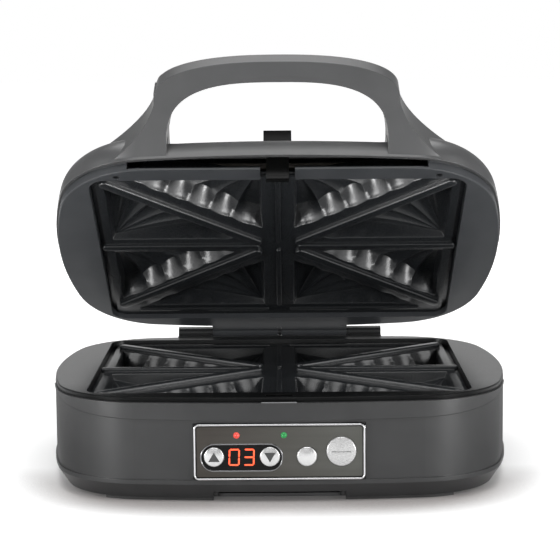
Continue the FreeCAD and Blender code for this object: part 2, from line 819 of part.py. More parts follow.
leg(ends, back, side - bend, back)
elbow(side, back, 1, 1, True)
leg(side, back - bend, side, front + bend)
elbow(side, front, 1, -1, False)
leg(side - bend, front, -side + bend, front)
elbow(-side, front, -1, -1, True)
leg(-side, front + bend, -side, back - bend)
elbow(-side, back, -1, 1, False)
leg(-side + bend, back, -ends, back)
track = doc.addObject("Part::Feature", "heater_track")
track.Shape = Part.Wire(loop)
bind(track, Placement__Base__z=heat_low)
disc = doc.addObject("Part::Feature", "heater_disc")
disc.Shape = Part.Wire([Part.makeCircle(val("heater_radius"), Vector(ends, back, 0), Vector(1, 0, 0))])
bind(disc, Placement__Base__z=heat_low)
coil = doc.addObject("Part::Sweep", "heater_rod")
coil.Sections = [disc]
coil.Spine = (track, ["Edge%d" % (n + 1) for n in range(len(loop))])
coil.Solid = True
coil.Frenet = True

sensor = rod("sensor", "z", ("0", "cross_mid"), "sensor_radius",
             ("deck_top - plate_drop - plate_slab - sensor_thick", "deck_top - plate_drop - plate_slab"))
sheet_plate = prism("shield_sheet", val("shield_inset"), post_low + " - shield_thick", post_low)
shield = cut("shield", sheet_plate, stem_bores)
shield_screws = []
for spot in ("post_near", "post_far"):
    shield_screws.append(rod("shield_head_" + spot, "z", ("0", spot), "screw_head",
                             (post_low + " - shield_thick - head_thick", post_low + " - shield_thick")))
    shield_screws.append(rod("shield_shank_" + spot, "z", ("0", spot), "screw_radius",
                             (post_low + " - shield_thick - screw_root",
                              post_low + " + post_bore - tip_room")))
shield_fixings = fuse("shield_fixings", shield_screws)
plate_fixings = fuse("plate_fixings", lug_screws)
for source, label in ((plate, "plate"), (coil, "heater"), (sensor, "sensor"), (shield, "heat_shield"),
                      (shield_fixings, "shield_screws"), (plate_fixings, "plate_screws")):
    node(plain("low_" + label, source), "lower_" + label)
    node(flipped("up_" + label, source), "upper_" + label, lid=True)

# control panel: bright frame, fascia, window with trim, lamps and keys
half_w, half_h = val("panel_wide") / 2, val("panel_high") / 2


# flat ring or disc lying in the panel, pushed backwards from its front face
def plate_on(name, wire, centre, front, back):
    item = doc.addObject("Part::Feature", name + "_line")
    item.Shape = wire
    item.Placement = FreeCAD.Placement(Vector(), Rotation(Vector(1, 0, 0), 90))
    bind(item, Placement__Base__x=centre[0], Placement__Base__y=front, Placement__Base__z=centre[1])
    return extrude(name, item, "(%s) - (%s)" % (back, front), Vector(0, 1, 0))


def block_wire(half_x, half_z, bend):
    return rounded([(-half_x, -half_z), (half_x, -half_z), (half_x, half_z), (-half_x, half_z)], bend)


panel_spot = ("0", "panel_mid")
inner_w, inner_h = half_w - val("frame_band"), half_h - val("frame_band")
inner_bend = val("frame_round") - val("frame_band")
frame_outer = plate_on("frame_outer", block_wire(half_w, half_h, val("frame_round")), panel_spot,
                       "panel_front", "panel_seat")
frame_inner = plate_on("frame_inner", block_wire(inner_w, inner_h, inner_bend), panel_spot,
                       "panel_front - beyond", "panel_seat + beyond")
node(cut("frame", frame_outer, [frame_inner]), "fascia_frame")
pill_w, pill_h = val("window_wide") / 2, val("window_high") / 2
pane_w, pane_h = pill_w - val("trim_band"), pill_h - val("trim_band")
window_spot = ("window_x", "window_z")
keys = (("up_button", "key_up", "key_row", "key_radius"),
        ("down_button", "key_down", "key_row", "key_radius"),
        ("more_button", "more_x", "key_row", "key_radius"),
        ("start_button", "start_x", "start_z", "start_radius"))
through = ("-far_out", "panel_seat + beyond")
key_bores = [rod("bore_" + key[0], "y", (key[1], key[2]), key[3] + " + key_gap", through) for key in keys]
lamps = (("power_lamp", "lamp_red"), ("ready_lamp", "lamp_green"))
lamp_bores = [rod("bore_" + lamp[0], "y", (lamp[1], "lamp_z"), "lamp_radius + lamp_gap", through)
              for lamp in lamps]
pill_line = block_wire(pill_w, pill_h, pill_h * val("pill_round"))
pane_line = block_wire(pane_w, pane_h, pane_h * val("pill_round"))
pill_hole = plate_on("pill_hole", pill_line, window_spot, "panel_front - beyond", "panel_seat + beyond")
ease = val("fascia_gap")
fascia_body = plate_on("fascia_body", block_wire(inner_w - ease, inner_h - ease, inner_bend), panel_spot,
                       "fascia_front", "panel_seat")
pillars = []
pillar_bores = []
board_screws = []
board_back = "board_front + board_thick"
for n, place in enumerate((("post_left", "post_upper"), ("post_right", "post_upper"),
                           ("post_middle", "post_lower"), ("post_right", "post_lower"))):
    pillars.append(rod("pillar_%d" % n, "y", place, "pillar_radius",
                       ("panel_seat - beyond", "board_front")))
    pillar_bores.append(rod("pillar_bore_%d" % n, "y", place, "pillar_bore",
                            ("board_front - pillar_deep", "board_front + board_thick + beyond")))
    board_screws.append(rod("board_head_%d" % n, "y", place, "board_head",
                            (board_back, board_back + " + board_head_thick")))
    board_screws.append(rod("board_shank_%d" % n, "y", place, "board_screw",
                            ("board_front - pillar_deep + tip_room", board_back + " + screw_root")))
fascia_open = cut("fascia_open", fascia_body, [pill_hole])
fascia = cut("fascia", fuse("fascia_solid", [fascia_open] + pillars),
             key_bores[2:] + lamp_bores + pillar_bores)
node(fascia, "control_fascia")
trim_outer = plate_on("trim_outer", pill_line, window_spot, "window_front - trim_proud", "panel_seat")
trim_inner = plate_on("trim_inner", pane_line, window_spot, "window_front - beyond", "panel_seat + beyond")
node(cut("trim", trim_outer, [trim_inner]), "window_trim")
pane = plate_on("pane", pane_line, window_spot, "window_front", "panel_seat")
node(cut("pane_open", pane, key_bores[:2]), "display_window")
node(box("digits", ("window_x - digit_wide/2", "window_x + digit_wide/2"), ("panel_seat", "board_front"),
         ("window_z - digit_high/2", "window_z + digit_high/2")), "display_module")
board = box("board", ("-board_half", "board_half"), ("board_front", board_back),
            ("panel_mid - board_high/2", "panel_mid + board_high/2"))
node(cut("board_open", board, pillar_bores), "control_board")
node(fuse("board_fixings", board_screws), "board_screws")
node(fuse("switches", [box("switch_" + key[0], (key[1] + " - switch_half", key[1] + " + switch_half"),
                           ("switch_front", "board_front"),
                           (key[2] + " - switch_half", key[2] + " + switch_half")) for key in keys]),
     "tact_switches")
for name, x in lamps:
    stalk = rod(name + "_stalk", "y", (x, "lamp_z"), "lamp_radius",
                ("lamp_front + lamp_dome", "panel_seat + beyond"))
    dome = doc.addObject("Part::Sphere", name + "_dome")
    bind(dome, Radius="lamp_radius", Placement__Base__x=x, Placement__Base__z="lamp_z",
         Placement__Base__y="lamp_front + lamp_radius")
    leads = [rod("%s_lead_%d" % (name, n), "y", ("%s %s lead_spread" % (x, move), "lamp_z"), "lead_radius",
                 ("panel_seat", "board_front")) for n, move in enumerate("-+")]
    node(fuse(name + "_solid", [stalk, dome] + leads), name)
for name, x, z, radius in keys:
    cap = rod(name + "_cap", "y", (x, z), radius, ("key_front", "panel_seat + fit_gap"))
    flange = rod(name + "_flange", "y", (x, z), radius + " + key_flange",
                 ("panel_seat + fit_gap", "panel_seat + fit_gap + key_flange_thick"))
    stem = rod(name + "_stem", "y", (x, z), "key_stem",
               ("panel_seat", "switch_front - key_travel - stem_gap"))
    rounder = doc.addObject("Part::Fillet", name + "_round")
    rounder.Base = cap
    cap.recompute()
    rims = [n + 1 for n, edge in enumerate(cap.Shape.Edges)
            if edge.Closed and edge.BoundBox.YMax < val("key_front") + val("near")]
    rounder.Edges = [(n, val("key_round"), val("key_round")) for n in rims]
    node(fuse(name + "_solid", [rounder, flange, stem]), name)

# power board on the bottom cover and the cord inlet
board_low = "skirt_low + cover_thick + power_lift"
node(box("power_plate", ("power_x - power_wide/2", "power_x + power_wide/2"),
         ("power_y - power_deep/2", "power_y + power_deep/2"), (board_low, board_low + " + board_thick")),
     "power_board")
node(fuse("relays", [box(x, ("power_x + " + x, "power_x + relay_wide + " + x),
                         ("power_y - relay_half", "power_y + relay_half"),
                         (board_low + " + board_thick", board_low + " + board_thick + relay_high"))
                     for x in ("relay_first", "relay_second")]), "heater_relays")
gland_body = rod("gland_body", "y", ("gland_x", "gland_z"), "gland_radius - gland_press",
                 (back_face + " - house_wall - gland_deep", back_face))
gland_flange = rod("gland_flange", "y", ("gland_x", "gland_z"), "gland_rim",
                   (back_face + " - gland_seat", back_face + " + gland_lip"))
gland_bore = rod("gland_way", "y", ("gland_x", "gland_z"), "gland_bore", ("-far_out", "far_out"))
node(cut("gland", fuse("gland_solid", [gland_body, gland_flange]), [gland_bore]), "cord_gland")

# lid deck, the base deck's twin with its own knuckles, latch mouth and two screw wells
body, hole = deck("lid_deck", val("cover_wall") + val("lip_gap"), "cover_low - deck_top - closed_gap")
well_tools = []
lid_screws = []
everywhere = ("-far_out", "far_out")
mouth = box("latch_way", ("-latch_mouth", "latch_mouth"), ("-far_out", "hole_front + beyond/2"), everywhere)
front_trim = box("front_trim", everywhere, ("-far_out", "lid_front"), everywhere)
recess = box("front_recess", ("-recess_half", "recess_half"), ("-far_out", "hole_front - recess_wall"),
             ("-far_out", "deck_top - lid_skin"))
for side, sign in sides:
    place = (sign + "screw_x", "screw_y")
    well_tools.append(rod("well_" + side, "z", place, "well_radius",
                          ("deck_top - well_deep", "deck_top + beyond")))
    well_tools.append(rod("way_" + side, "z", place, "screw_radius + screw_play", ("-far_out", "deck_top")))
twin_body = cut("twin_frame", body, [hole, mouth, front_trim, recess] + well_tools + lug_bores + lug_rooms)
twin = flipped("twin_up", twin_body)
inner_rolls = []
for side, sign in sides:
    span = ("-inner_end", "-inner_start") if sign else ("inner_start", "inner_end")
    inner_rolls.append(rod("inner_roll_" + side, "x", ("0", "0"), "knuckle_radius", span))
    inner_rolls.append(box("inner_arm_" + side, span, ("arm_front", "0"),
                           ("deck_top + closed_gap", "deck_top + closed_gap + arm_thick")))
run_bore = rod("run_bore", "x", ("0", "0"), "pin_radius + pin_play", ("-far_out", "far_out"))
node(cut("lid_frame", fuse("lid_frame_body", [twin] + inner_rolls), [run_bore]), "lid_deck", lid=True)
lid_face = "deck_top + closed_gap"
for side, sign in sides:
    place = (sign + "screw_x", "screw_y")
    lid_screws.append(rod("lid_head_" + side, "z", place, "lid_head",
                          (lid_face + " + head_sunk", lid_face + " + well_deep")))
    lid_screws.append(rod("lid_shank_" + side, "z", place, "screw_radius",
                          (lid_face + " + well_deep - screw_root",
                           "lid_boss_top - lid_bore_end - tip_room")))
node(fuse("lid_fixings", lid_screws), "lid_screws", lid=True)

# lid cover: straight wall, round shoulder, porch for the latch and the arched handle in one moulding
cap_block = prism("cap_block", 0.0, "cover_low", "cover_top")
cap = round_top("cap", cap_block, val("shoulder_round"))
vault_block = prism("vault_block", val("cover_wall"), "cover_low - beyond", "cover_top - cover_wall")
vault_full = round_top("vault_full", vault_block, val("shoulder_round") - val("cover_wall"))
lip_y = val("plan_mid") - val("plan_deep")
porch = box("porch", ("-porch_half", "porch_half"), ("-far_out", "porch_back"), ("porch_high", "far_out"))
slope = tilted("porch_slope_cut", val("porch_half"), val("porch_slope"), lip_y, val("porch_high"))
porch_under = box("porch_under", ("-porch_half - cover_wall", "porch_half + cover_wall"),
                  ("-far_out", "porch_back + cover_wall"), ("porch_high - cover_wall", "far_out"))
thick_drop = val("cover_wall") / math.cos(math.radians(val("porch_slope")))
slope_under = tilted("porch_slope_under", val("porch_half") + val("cover_wall"), val("porch_slope"), lip_y,
                     val("porch_high") - thick_drop)
vault = cut("vault", vault_full, [porch_under, slope_under])
cap_body = cut("cap_body", cap, [porch, slope])


# upper half of a superellipse standing on a foot line
def crown(half, foot, tall, power):
    steps = 24
    points = []
    for step in range(steps + 1):
        angle = math.pi * step / steps
        along = math.copysign(abs(math.cos(angle)) ** (2 / power), math.cos(angle))
        points.append(Vector(half * along, foot + tall * math.sin(angle) ** (2 / power), 0))
    curve = Part.BSplineCurve()
    curve.interpolate(points, InitialTangent=Vector(0, 1, 0), FinalTangent=Vector(0, -1, 0))
    return curve.toShape()


# crown closed far below by straight lines from its two feet
def closed_arch(edges, left, right):
    tail = Vector(0, -val("far_out"), 0)
    lines = [Part.makeLine(left, left + tail), Part.makeLine(left + tail, right + tail),
             Part.makeLine(right + tail, right)]
    return Part.Wire(Part.__sortEdges__(edges + lines))


# arch seen from the front: crown on arms that flare outwards towards the lid
def arch_wire():
    half, foot = val("arch_half"), val("arch_foot")
    steps = 8
    edges = [crown(half, foot, val("arch_high"), val("arch_power"))]
    ends = []
    for sign in (-1, 1):
        points = []
        for step in range(steps + 1):
            out = val("flare_wide") * (step / steps) ** val("flare_power")
            points.append(Vector(sign * (half + out), foot - val("flare_drop") * step / steps, 0))
        curve = Part.BSplineCurve()
        lean_out = Vector(sign * val("flare_wide") * val("flare_power"), -val("flare_drop"), 0)
        curve.interpolate(points, InitialTangent=Vector(0, -1, 0), FinalTangent=lean_out)
        edges.append(curve.toShape())
        ends.append(points[-1])
    return closed_arch(edges, *ends)


def grip_wire():
    half, foot = val("grip_half"), val("grip_foot")
    top = crown(half, foot, val("grip_high"), val("grip_power"))
    return closed_arch([top], Vector(-half, foot, 0), Vector(half, foot, 0))


def swept(name, wire, angle):
    item = doc.addObject("Part::Feature", name + "_line")
    item.Shape = wire
    run = Vector(0, math.cos(math.radians(angle)), math.sin(math.radians(angle)))
    start = Vector(0, val("arch_plane"), 0) - run * val("sweep_lead")
    item.Placement = FreeCAD.Placement(start, Rotation(Vector(1, 0, 0), 90))
    return extrude(name, item, "sweep_length", run)


arch = swept("arch", arch_wire(), val("arch_sweep"))
grip_gap = swept("grip_gap", grip_wire(), val("grip_sweep"))
lean_way = Vector(0, -math.tan(math.radians(val("lean"))), 1).normalize()
lean_line = outline("lean_line", val("lean_inset"), "lean_start")
leaning = extrude("leaning", lean_line, "lean_length", lean_way)
behind = tilted("behind", val("far_out"), val("back_slope"), val("back_y"), val("back_z"))
handle = cut("handle", common("handle_band", arch, leaning), [behind, grip_gap])
latch_slot = box("latch_slot", ("-blade_half - latch_room", "blade_half + latch_room"),
                 ("blade_front - latch_travel - latch_room", blade_back),
                 ("cover_low", "porch_high + beyond"))
lid_bosses = []
lid_bores = []
for side, sign in sides:
    place = (sign + "screw_x", "screw_y")
    boss_span = ("cover_low + deck_lip", "lid_boss_top")
    lid_bosses.append(rod("lid_boss_" + side, "z", place, "lid_boss_radius", boss_span))
    lid_bosses.append(box("lid_rib_" + side, (place[0] + " - lid_rib_half", place[0] + " + lid_rib_half"),
                          ("-far_out", "screw_y"), boss_span))
    lid_bores.append(rod("lid_bore_" + side, "z", place, "screw_radius + screw_play",
                         ("cover_low", "lid_boss_top - lid_bore_end")))
cover_shell = cut("cover_shell", fuse("cover_full", [cap_body, handle]), [vault])
limit = prism("lid_limit", val("lid_boss_inset"), "cover_low", "lid_boss_top + beyond")
bosses = common("lid_bosses", fuse("lid_boss_pair", lid_bosses), limit)
cover = cut("cover", fuse("cover_solid", [cover_shell, bosses]), [latch_slot] + lid_bores)
node(cover, "lid_cover", lid=True)

# latch slide standing on the porch, its blade and toe reaching down to the keeper
block = box("latch_block", ("-latch_half", "latch_half"), ("latch_front", "latch_back"),
            ("porch_high + latch_lift", "latch_top"))
foot = box("latch_foot", ("-flange_half", "flange_half"),
           ("latch_front - latch_foot_front", "latch_back + latch_foot_rear"),
           ("porch_high + latch_lift", "porch_high + latch_lift + flange_thick"))
blade = box("latch_blade", ("-blade_half", "blade_half"), ("blade_front", "blade_front + blade_thick"),
            ("toe_low", "porch_high + latch_lift + beyond"))
toe = box("latch_toe", ("-blade_half", "blade_half"), ("blade_front - toe_reach", "blade_front + beyond/2"),
          ("toe_low", "toe_high"))
node(fuse("latch", [block, foot, blade, toe]), "latch_slider", lid=True)

doc.recompute()
for item in doc.Objects:
    state = " ".join(item.State)
    if "Invalid" in state or "Error" in state:
        raise RuntimeError("%s is not built: %s" % (item.Name, state))
os.makedirs("parts", exist_ok=True)
for item in nodes:
    if item.Shape.isNull() or not item.Shape.isValid() or not item.Shape.Solids:
        raise RuntimeError("%s has no valid solid" % item.Label)
    item.Shape.exportStep("parts/%s.step" % item.Label)
    size = item.Shape.BoundBox
    print("%-20s solids %d  volume %.0f  x %.1f %.1f  y %.1f %.1f  z %.1f %.1f" % (
        item.Label, len(item.Shape.Solids), item.Shape.Volume,
        size.XMin, size.XMax, size.YMin, size.YMax, size.ZMin, size.ZMax))
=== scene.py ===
import json
import math

import bpy
from mathutils import Matrix, Vector


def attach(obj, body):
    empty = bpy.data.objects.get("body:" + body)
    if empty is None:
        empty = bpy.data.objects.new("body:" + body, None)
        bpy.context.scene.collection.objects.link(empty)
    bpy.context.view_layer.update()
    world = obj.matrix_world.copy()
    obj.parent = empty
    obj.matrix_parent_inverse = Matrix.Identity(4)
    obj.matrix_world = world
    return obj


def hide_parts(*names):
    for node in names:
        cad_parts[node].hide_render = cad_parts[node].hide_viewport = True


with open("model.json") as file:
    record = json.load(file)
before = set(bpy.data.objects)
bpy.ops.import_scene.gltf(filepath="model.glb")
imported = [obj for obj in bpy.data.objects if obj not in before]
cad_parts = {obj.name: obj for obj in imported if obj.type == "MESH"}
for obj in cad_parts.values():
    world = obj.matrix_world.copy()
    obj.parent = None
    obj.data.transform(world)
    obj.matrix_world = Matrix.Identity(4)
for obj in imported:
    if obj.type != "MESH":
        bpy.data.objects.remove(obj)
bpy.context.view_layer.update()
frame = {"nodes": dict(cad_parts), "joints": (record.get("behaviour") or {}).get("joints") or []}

cadNodes = frame["nodes"]

# pieces are modelled in mm round the hinge axis, then laid into the frame
mm = 0.001
mergeGap = 0.0005
levelSlack = 0.001
lidHinge = next(j for j in frame["joints"] if j["name"] == "lid_hinge")
hingeSpot = Vector(lidHinge["pos_m"])
lidOpen = math.radians(-lidHinge["range_deg"][0])
baseLay = Matrix.Translation(hingeSpot) @ Matrix.Scale(mm, 4)
lidLay = Matrix.Translation(hingeSpot) @ Matrix.Rotation(-lidOpen, 4, "X") @ Matrix.Scale(mm, 4)


def clearSelection():
    if bpy.context.object and bpy.context.object.mode != "OBJECT":
        bpy.ops.object.mode_set(mode="OBJECT")
    bpy.ops.object.select_all(action="DESELECT")


def named(name):
    piece = bpy.context.object
    piece.name = name
    piece.data.name = name
    return piece


def only(piece):
    clearSelection()
    piece.select_set(True)
    bpy.context.view_layer.objects.active = piece


def editMode(piece, kind="FACE"):
    only(piece)
    bpy.ops.object.mode_set(mode="EDIT")
    bpy.ops.mesh.select_mode(type=kind)
    bpy.ops.mesh.select_all(action="DESELECT")


def pickEdges(piece, test):
    bpy.ops.mesh.select_all(action="DESELECT")
    bpy.ops.object.mode_set(mode="OBJECT")
    spots = piece.data.vertices
    for edge in piece.data.edges:
        edge.select = test(spots[edge.vertices[0]].co, spots[edge.vertices[1]].co)
    bpy.ops.object.mode_set(mode="EDIT")


def standing(first, second):
    return abs(first.z - second.z) > levelSlack


def moveOut(way):
    bpy.ops.mesh.extrude_region_move(TRANSFORM_OT_translate={"value": way})


def closeUp(piece, angle=35):
    only(piece)
    bpy.ops.object.mode_set(mode="EDIT")
    bpy.ops.mesh.select_all(action="SELECT")
    bpy.ops.mesh.remove_doubles(threshold=mergeGap)
    bpy.ops.mesh.normals_make_consistent(inside=False)
    bpy.ops.object.mode_set(mode="OBJECT")
    bpy.ops.object.shade_smooth_by_angle(angle=math.radians(angle))


def meshPiece(name, points, edges, faces):
    mesh = bpy.data.meshes.new(name)
    mesh.from_pydata(points, edges, faces)
    piece = bpy.data.objects.new(name, mesh)
    bpy.context.collection.objects.link(piece)
    return piece


def joined(name, pieces):
    clearSelection()
    for piece in pieces:
        piece.select_set(True)
    bpy.context.view_layer.objects.active = pieces[0]
    bpy.ops.object.join()
    return named(name)


def lay(piece, matrix):
    piece.data.transform(matrix)
    piece.data.update()


def dress(piece, material):
    piece.data.materials.clear()
    piece.data.materials.append(material)


def handOver(piece, body, slot, *replaced):
    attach(piece, body)
    if replaced:
        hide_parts(*replaced)


# finishes: cloudy colour, grained roughness and bump, softened edges
plainLook = {"stretch": (1, 1, 1), "cloudScale": 35, "bump": 0.1}
grainLook = {"cloud": (3.0, 0.55), "fine": (4.0, 0.6), "span": (0.3, 0.7), "deep": 0.00006,
             "edgeSamples": 6}


def plainMaterial(name):
    material = bpy.data.materials.new(name)
    material.use_nodes = True
    tree = material.node_tree
    return material, tree, tree.nodes["Principled BSDF"]


def objectPlace(tree, stretch=(1, 1, 1)):
    place = tree.nodes.new("ShaderNodeTexCoord")
    mapping = tree.nodes.new("ShaderNodeMapping")
    mapping.inputs["Scale"].default_value = stretch
    tree.links.new(place.outputs["Object"], mapping.inputs["Vector"])
    return mapping.outputs["Vector"]


def objectAxes(tree, where):
    axes = tree.nodes.new("ShaderNodeSeparateXYZ")
    tree.links.new(where, axes.inputs["Vector"])
    return axes.outputs


def noise(tree, where, scale, detail, rough):
    grain = tree.nodes.new("ShaderNodeTexNoise")
    grain.inputs["Scale"].default_value = scale
    grain.inputs["Detail"].default_value = detail
    grain.inputs["Roughness"].default_value = rough
    tree.links.new(where, grain.inputs["Vector"])
    return grain.outputs["Fac"]


def spread(tree, value, low, high, outLow, outHigh):
    span = tree.nodes.new("ShaderNodeMapRange")
    limits = {"From Min": low, "From Max": high, "To Min": outLow, "To Max": outHigh}
    for key, number in limits.items():
        span.inputs[key].default_value = number
    tree.links.new(value, span.inputs["Value"])
    return span.outputs["Result"]


def tint(tree, value, first, second):
    mix = tree.nodes.new("ShaderNodeMix")
    mix.data_type = "RGBA"
    mix.inputs["A"].default_value = (*first, 1)
    mix.inputs["B"].default_value = (*second, 1)
    tree.links.new(value, mix.inputs["Factor"])
    return mix.outputs["Result"]


# painted light and shade: colour, and shine where given, that changes along one axis
def paintedShading(tree, shader, colour, fade):
    axes = objectAxes(tree, objectPlace(tree))
    along = spread(tree, axes[fade["axis"]], *fade["ends"], 0, 1)
    mix = tree.nodes.new("ShaderNodeMix")
    mix.data_type = "RGBA"
    mix.blend_type = "MULTIPLY"
    mix.inputs["Factor"].default_value = 1.0
    tree.links.new(colour, mix.inputs["A"])
    tree.links.new(tint(tree, along, *fade["colours"]), mix.inputs["B"])
    if "shine" in fade:
        shine = spread(tree, along, 0, 1, *fade["shine"])
        tree.links.new(shine, shader.inputs["Specular IOR Level"])
    return mix.outputs["Result"]


def finish(name, look):
    look = {**plainLook, **look}
    material, tree, shader = plainMaterial(name)
    where = objectPlace(tree, look["stretch"])
    cloud = noise(tree, where, look["cloudScale"], *grainLook["cloud"])
    colour = tint(tree, spread(tree, cloud, *grainLook["span"], 0, 1), *look["colours"])
    if "fade" in look:
        colour = paintedShading(tree, shader, colour, look["fade"])
    tree.links.new(colour, shader.inputs["Base Color"])
    grain = noise(tree, where, look["grainScale"], *grainLook["fine"])
    rough = spread(tree, grain, *grainLook["span"], *look["rough"])
    tree.links.new(rough, shader.inputs["Roughness"])
    bump = tree.nodes.new("ShaderNodeBump")
    bump.inputs["Strength"].default_value = look["bump"]
    bump.inputs["Distance"].default_value = grainLook["deep"]
    tree.links.new(grain, bump.inputs["Height"])
    if "edge" in look:
        soft = tree.nodes.new("ShaderNodeBevel")
        soft.samples = grainLook["edgeSamples"]
        soft.inputs["Radius"].default_value = look["edge"]
        tree.links.new(soft.outputs["Normal"], bump.inputs["Normal"])
    tree.links.new(bump.outputs["Normal"], shader.inputs["Normal"])
    for key in ("Metallic", "Specular IOR Level", "Emission Strength"):
        if key in look:
            shader.inputs[key].default_value = look[key]
    if "glow" in look:
        shader.inputs["Emission Color"].default_value = (*look["glow"], 1)
    return material


satin = {"grainScale": 1500, "bump": 0.12}
coating = {"colours": ((0.011, 0.012, 0.0135), (0.016, 0.0175, 0.019)), "rough": (0.22, 0.34),
           "grainScale": 2200, "cloudScale": 900, "bump": 0.14, "edge": 0.0006}
# painted shade: the base deck is darker and less shiny towards the front, and the lid's coating
# darker and duller towards the hinge
deckPaintedShade = {"axis": "Y", "ends": (-0.128, -0.085), "colours": ((0.3, 0.3, 0.3), (1, 1, 1)),
            "shine": (0.06, 0.5)}
lidPaintedShade = {"axis": "Z", "ends": (0.17, 0.27), "colours": ((0.7, 0.7, 0.7), (1, 1, 1)),
           "shine": (0.40, 0.80)}
# painted light and shade on the fascia: darker at the left, lighter at the right
fasciaPaintedShading = {"axis": "X", "ends": (-0.055, 0.045),
              "colours": ((0.72, 0.66, 0.62), (1.10, 1.12, 1.08))}
looks = {
    "shellSatin": {**satin, "colours": ((0.046, 0.0465, 0.0475), (0.054, 0.0545, 0.0555)),
                   "rough": (0.30, 0.38), "edge": 0.0009},
    # a darker copy of the cover's satin plastic: painted shade for the base housing
    "baseSatinPaintedShade": {**satin, "colours": ((0.024, 0.0243, 0.0248), (0.030, 0.0303, 0.0308)),
                  "rough": (0.28, 0.36), "edge": 0.0009, "Specular IOR Level": 0.3},
    # the deck plastic, with painted shade towards the front
    "deckSatin": {**satin, "colours": ((0.014, 0.0145, 0.015), (0.019, 0.0195, 0.020)),
                  "rough": (0.26, 0.34), "edge": 0.0007, "fade": deckPaintedShade},
    # a lighter copy of the deck plastic: painted light for the lid's down-facing deck
    "lidSatinPaintedLight": {**satin, "colours": ((0.032, 0.034, 0.037), (0.039, 0.041, 0.044)),
                 "rough": (0.34, 0.44), "edge": 0.0007, "Specular IOR Level": 0.22},
    "nonStick": {**coating, "Specular IOR Level": 0.66},
    # the lid's coating, with painted shade towards the hinge
    "lidNonStick": {**coating, "fade": lidPaintedShade},
    "brightPlating": {"colours": ((0.60, 0.60, 0.61), (0.68, 0.68, 0.69)), "rough": (0.05, 0.11),
                      "grainScale": 900, "bump": 0.02, "Metallic": 1.0},
    # a darker copy of the bright plating: painted shade for the window trim and the latch keeper
    "platingPaintedShade": {"colours": ((0.20, 0.20, 0.205), (0.26, 0.26, 0.265)), "rough": (0.10, 0.18),
                   "grainScale": 900, "bump": 0.02, "Metallic": 1.0},
    # gunmetal fascia, with painted light and shade across it
    "gunmetal": {"colours": ((0.072, 0.071, 0.067), (0.092, 0.091, 0.087)), "rough": (0.30, 0.42),
                 "grainScale": 600, "stretch": (0.12, 1, 3), "bump": 0.05, "Metallic": 0.85,
                 "fade": fasciaPaintedShading},
    "smokedLens": {"colours": ((0.002, 0.002, 0.002), (0.004, 0.004, 0.004)),
                   "rough": (0.04, 0.09), "grainScale": 300, "bump": 0.01,
                   "Specular IOR Level": 0.12},
    "silverLacquer": {"colours": ((0.56, 0.56, 0.56), (0.64, 0.64, 0.64)), "rough": (0.20, 0.28),
                      "grainScale": 1800, "bump": 0.04, "Metallic": 0.75},
    "brushedSilver": {"colours": ((0.40, 0.40, 0.40), (0.50, 0.50, 0.50)), "rough": (0.22, 0.34),
                      "grainScale": 1400, "stretch": (0.3, 1, 2), "bump": 0.06, "Metallic": 0.5},
    "printGrey": {"colours": ((0.030, 0.030, 0.030), (0.045, 0.045, 0.045)), "rough": (0.4, 0.5),
                  "grainScale": 1200},
    "litRed": {"colours": ((0.80, 0.05, 0.02), (0.95, 0.09, 0.03)), "rough": (0.2, 0.3),
               "grainScale": 700, "glow": (1.0, 0.10, 0.025), "Emission Strength": 0.9},
    "redLens": {"colours": ((0.50, 0.04, 0.03), (0.62, 0.08, 0.06)), "rough": (0.12, 0.22),
                "grainScale": 500, "glow": (1.0, 0.06, 0.03), "Emission Strength": 0.15},
    "greenLens": {"colours": ((0.01, 0.16, 0.04), (0.02, 0.24, 0.06)), "rough": (0.12, 0.22),
                  "grainScale": 500, "glow": (0.02, 0.55, 0.10), "Emission Strength": 0.1},
    "latchGloss": {"colours": ((0.003, 0.003, 0.003), (0.005, 0.005, 0.005)),
                   "rough": (0.16, 0.26), "grainScale": 900, "bump": 0.05, "edge": 0.0006,
                   "Specular IOR Level": 0.06},
    "footRubber": {"colours": ((0.010, 0.010, 0.010), (0.018, 0.018, 0.018)), "rough": (0.6, 0.75),
                   "grainScale": 1400, "bump": 0.25},
    "underPlastic": {"colours": ((0.020, 0.020, 0.021), (0.028, 0.028, 0.029)),
                     "rough": (0.45, 0.6), "grainScale": 1100, "bump": 0.2, "edge": 0.0006},
    "plainSteel": {"colours": ((0.50, 0.50, 0.50), (0.60, 0.60, 0.61)), "rough": (0.25, 0.40),
                   "grainScale": 800, "bump": 0.08, "Metallic": 1.0},
    "darkSteel": {"colours": ((0.035, 0.035, 0.036), (0.055, 0.055, 0.056)), "rough": (0.30, 0.45),
                  "grainScale": 800, "bump": 0.08, "Metallic": 1.0},
    "heaterTube": {"colours": ((0.16, 0.14, 0.12), (0.30, 0.27, 0.25)), "rough": (0.35, 0.55),
                   "grainScale": 500, "bump": 0.1, "Metallic": 0.9},
    "shieldSheet": {"colours": ((0.60, 0.61, 0.62), (0.70, 0.71, 0.72)), "rough": (0.25, 0.40),
                    "grainScale": 400, "stretch": (0.2, 3, 1), "bump": 0.08, "Metallic": 1.0},
    "boardGreen": {"colours": ((0.015, 0.09, 0.04), (0.03, 0.15, 0.07)), "rough": (0.3, 0.45),
                   "grainScale": 700, "cloudScale": 260, "bump": 0.1},
    "partBlack": {"colours": ((0.012, 0.012, 0.012), (0.022, 0.022, 0.022)), "rough": (0.4, 0.55),
                  "grainScale": 900, "bump": 0.1},
}
finishes = {name: finish(name, look) for name, look in looks.items()}
print("finishes ready")

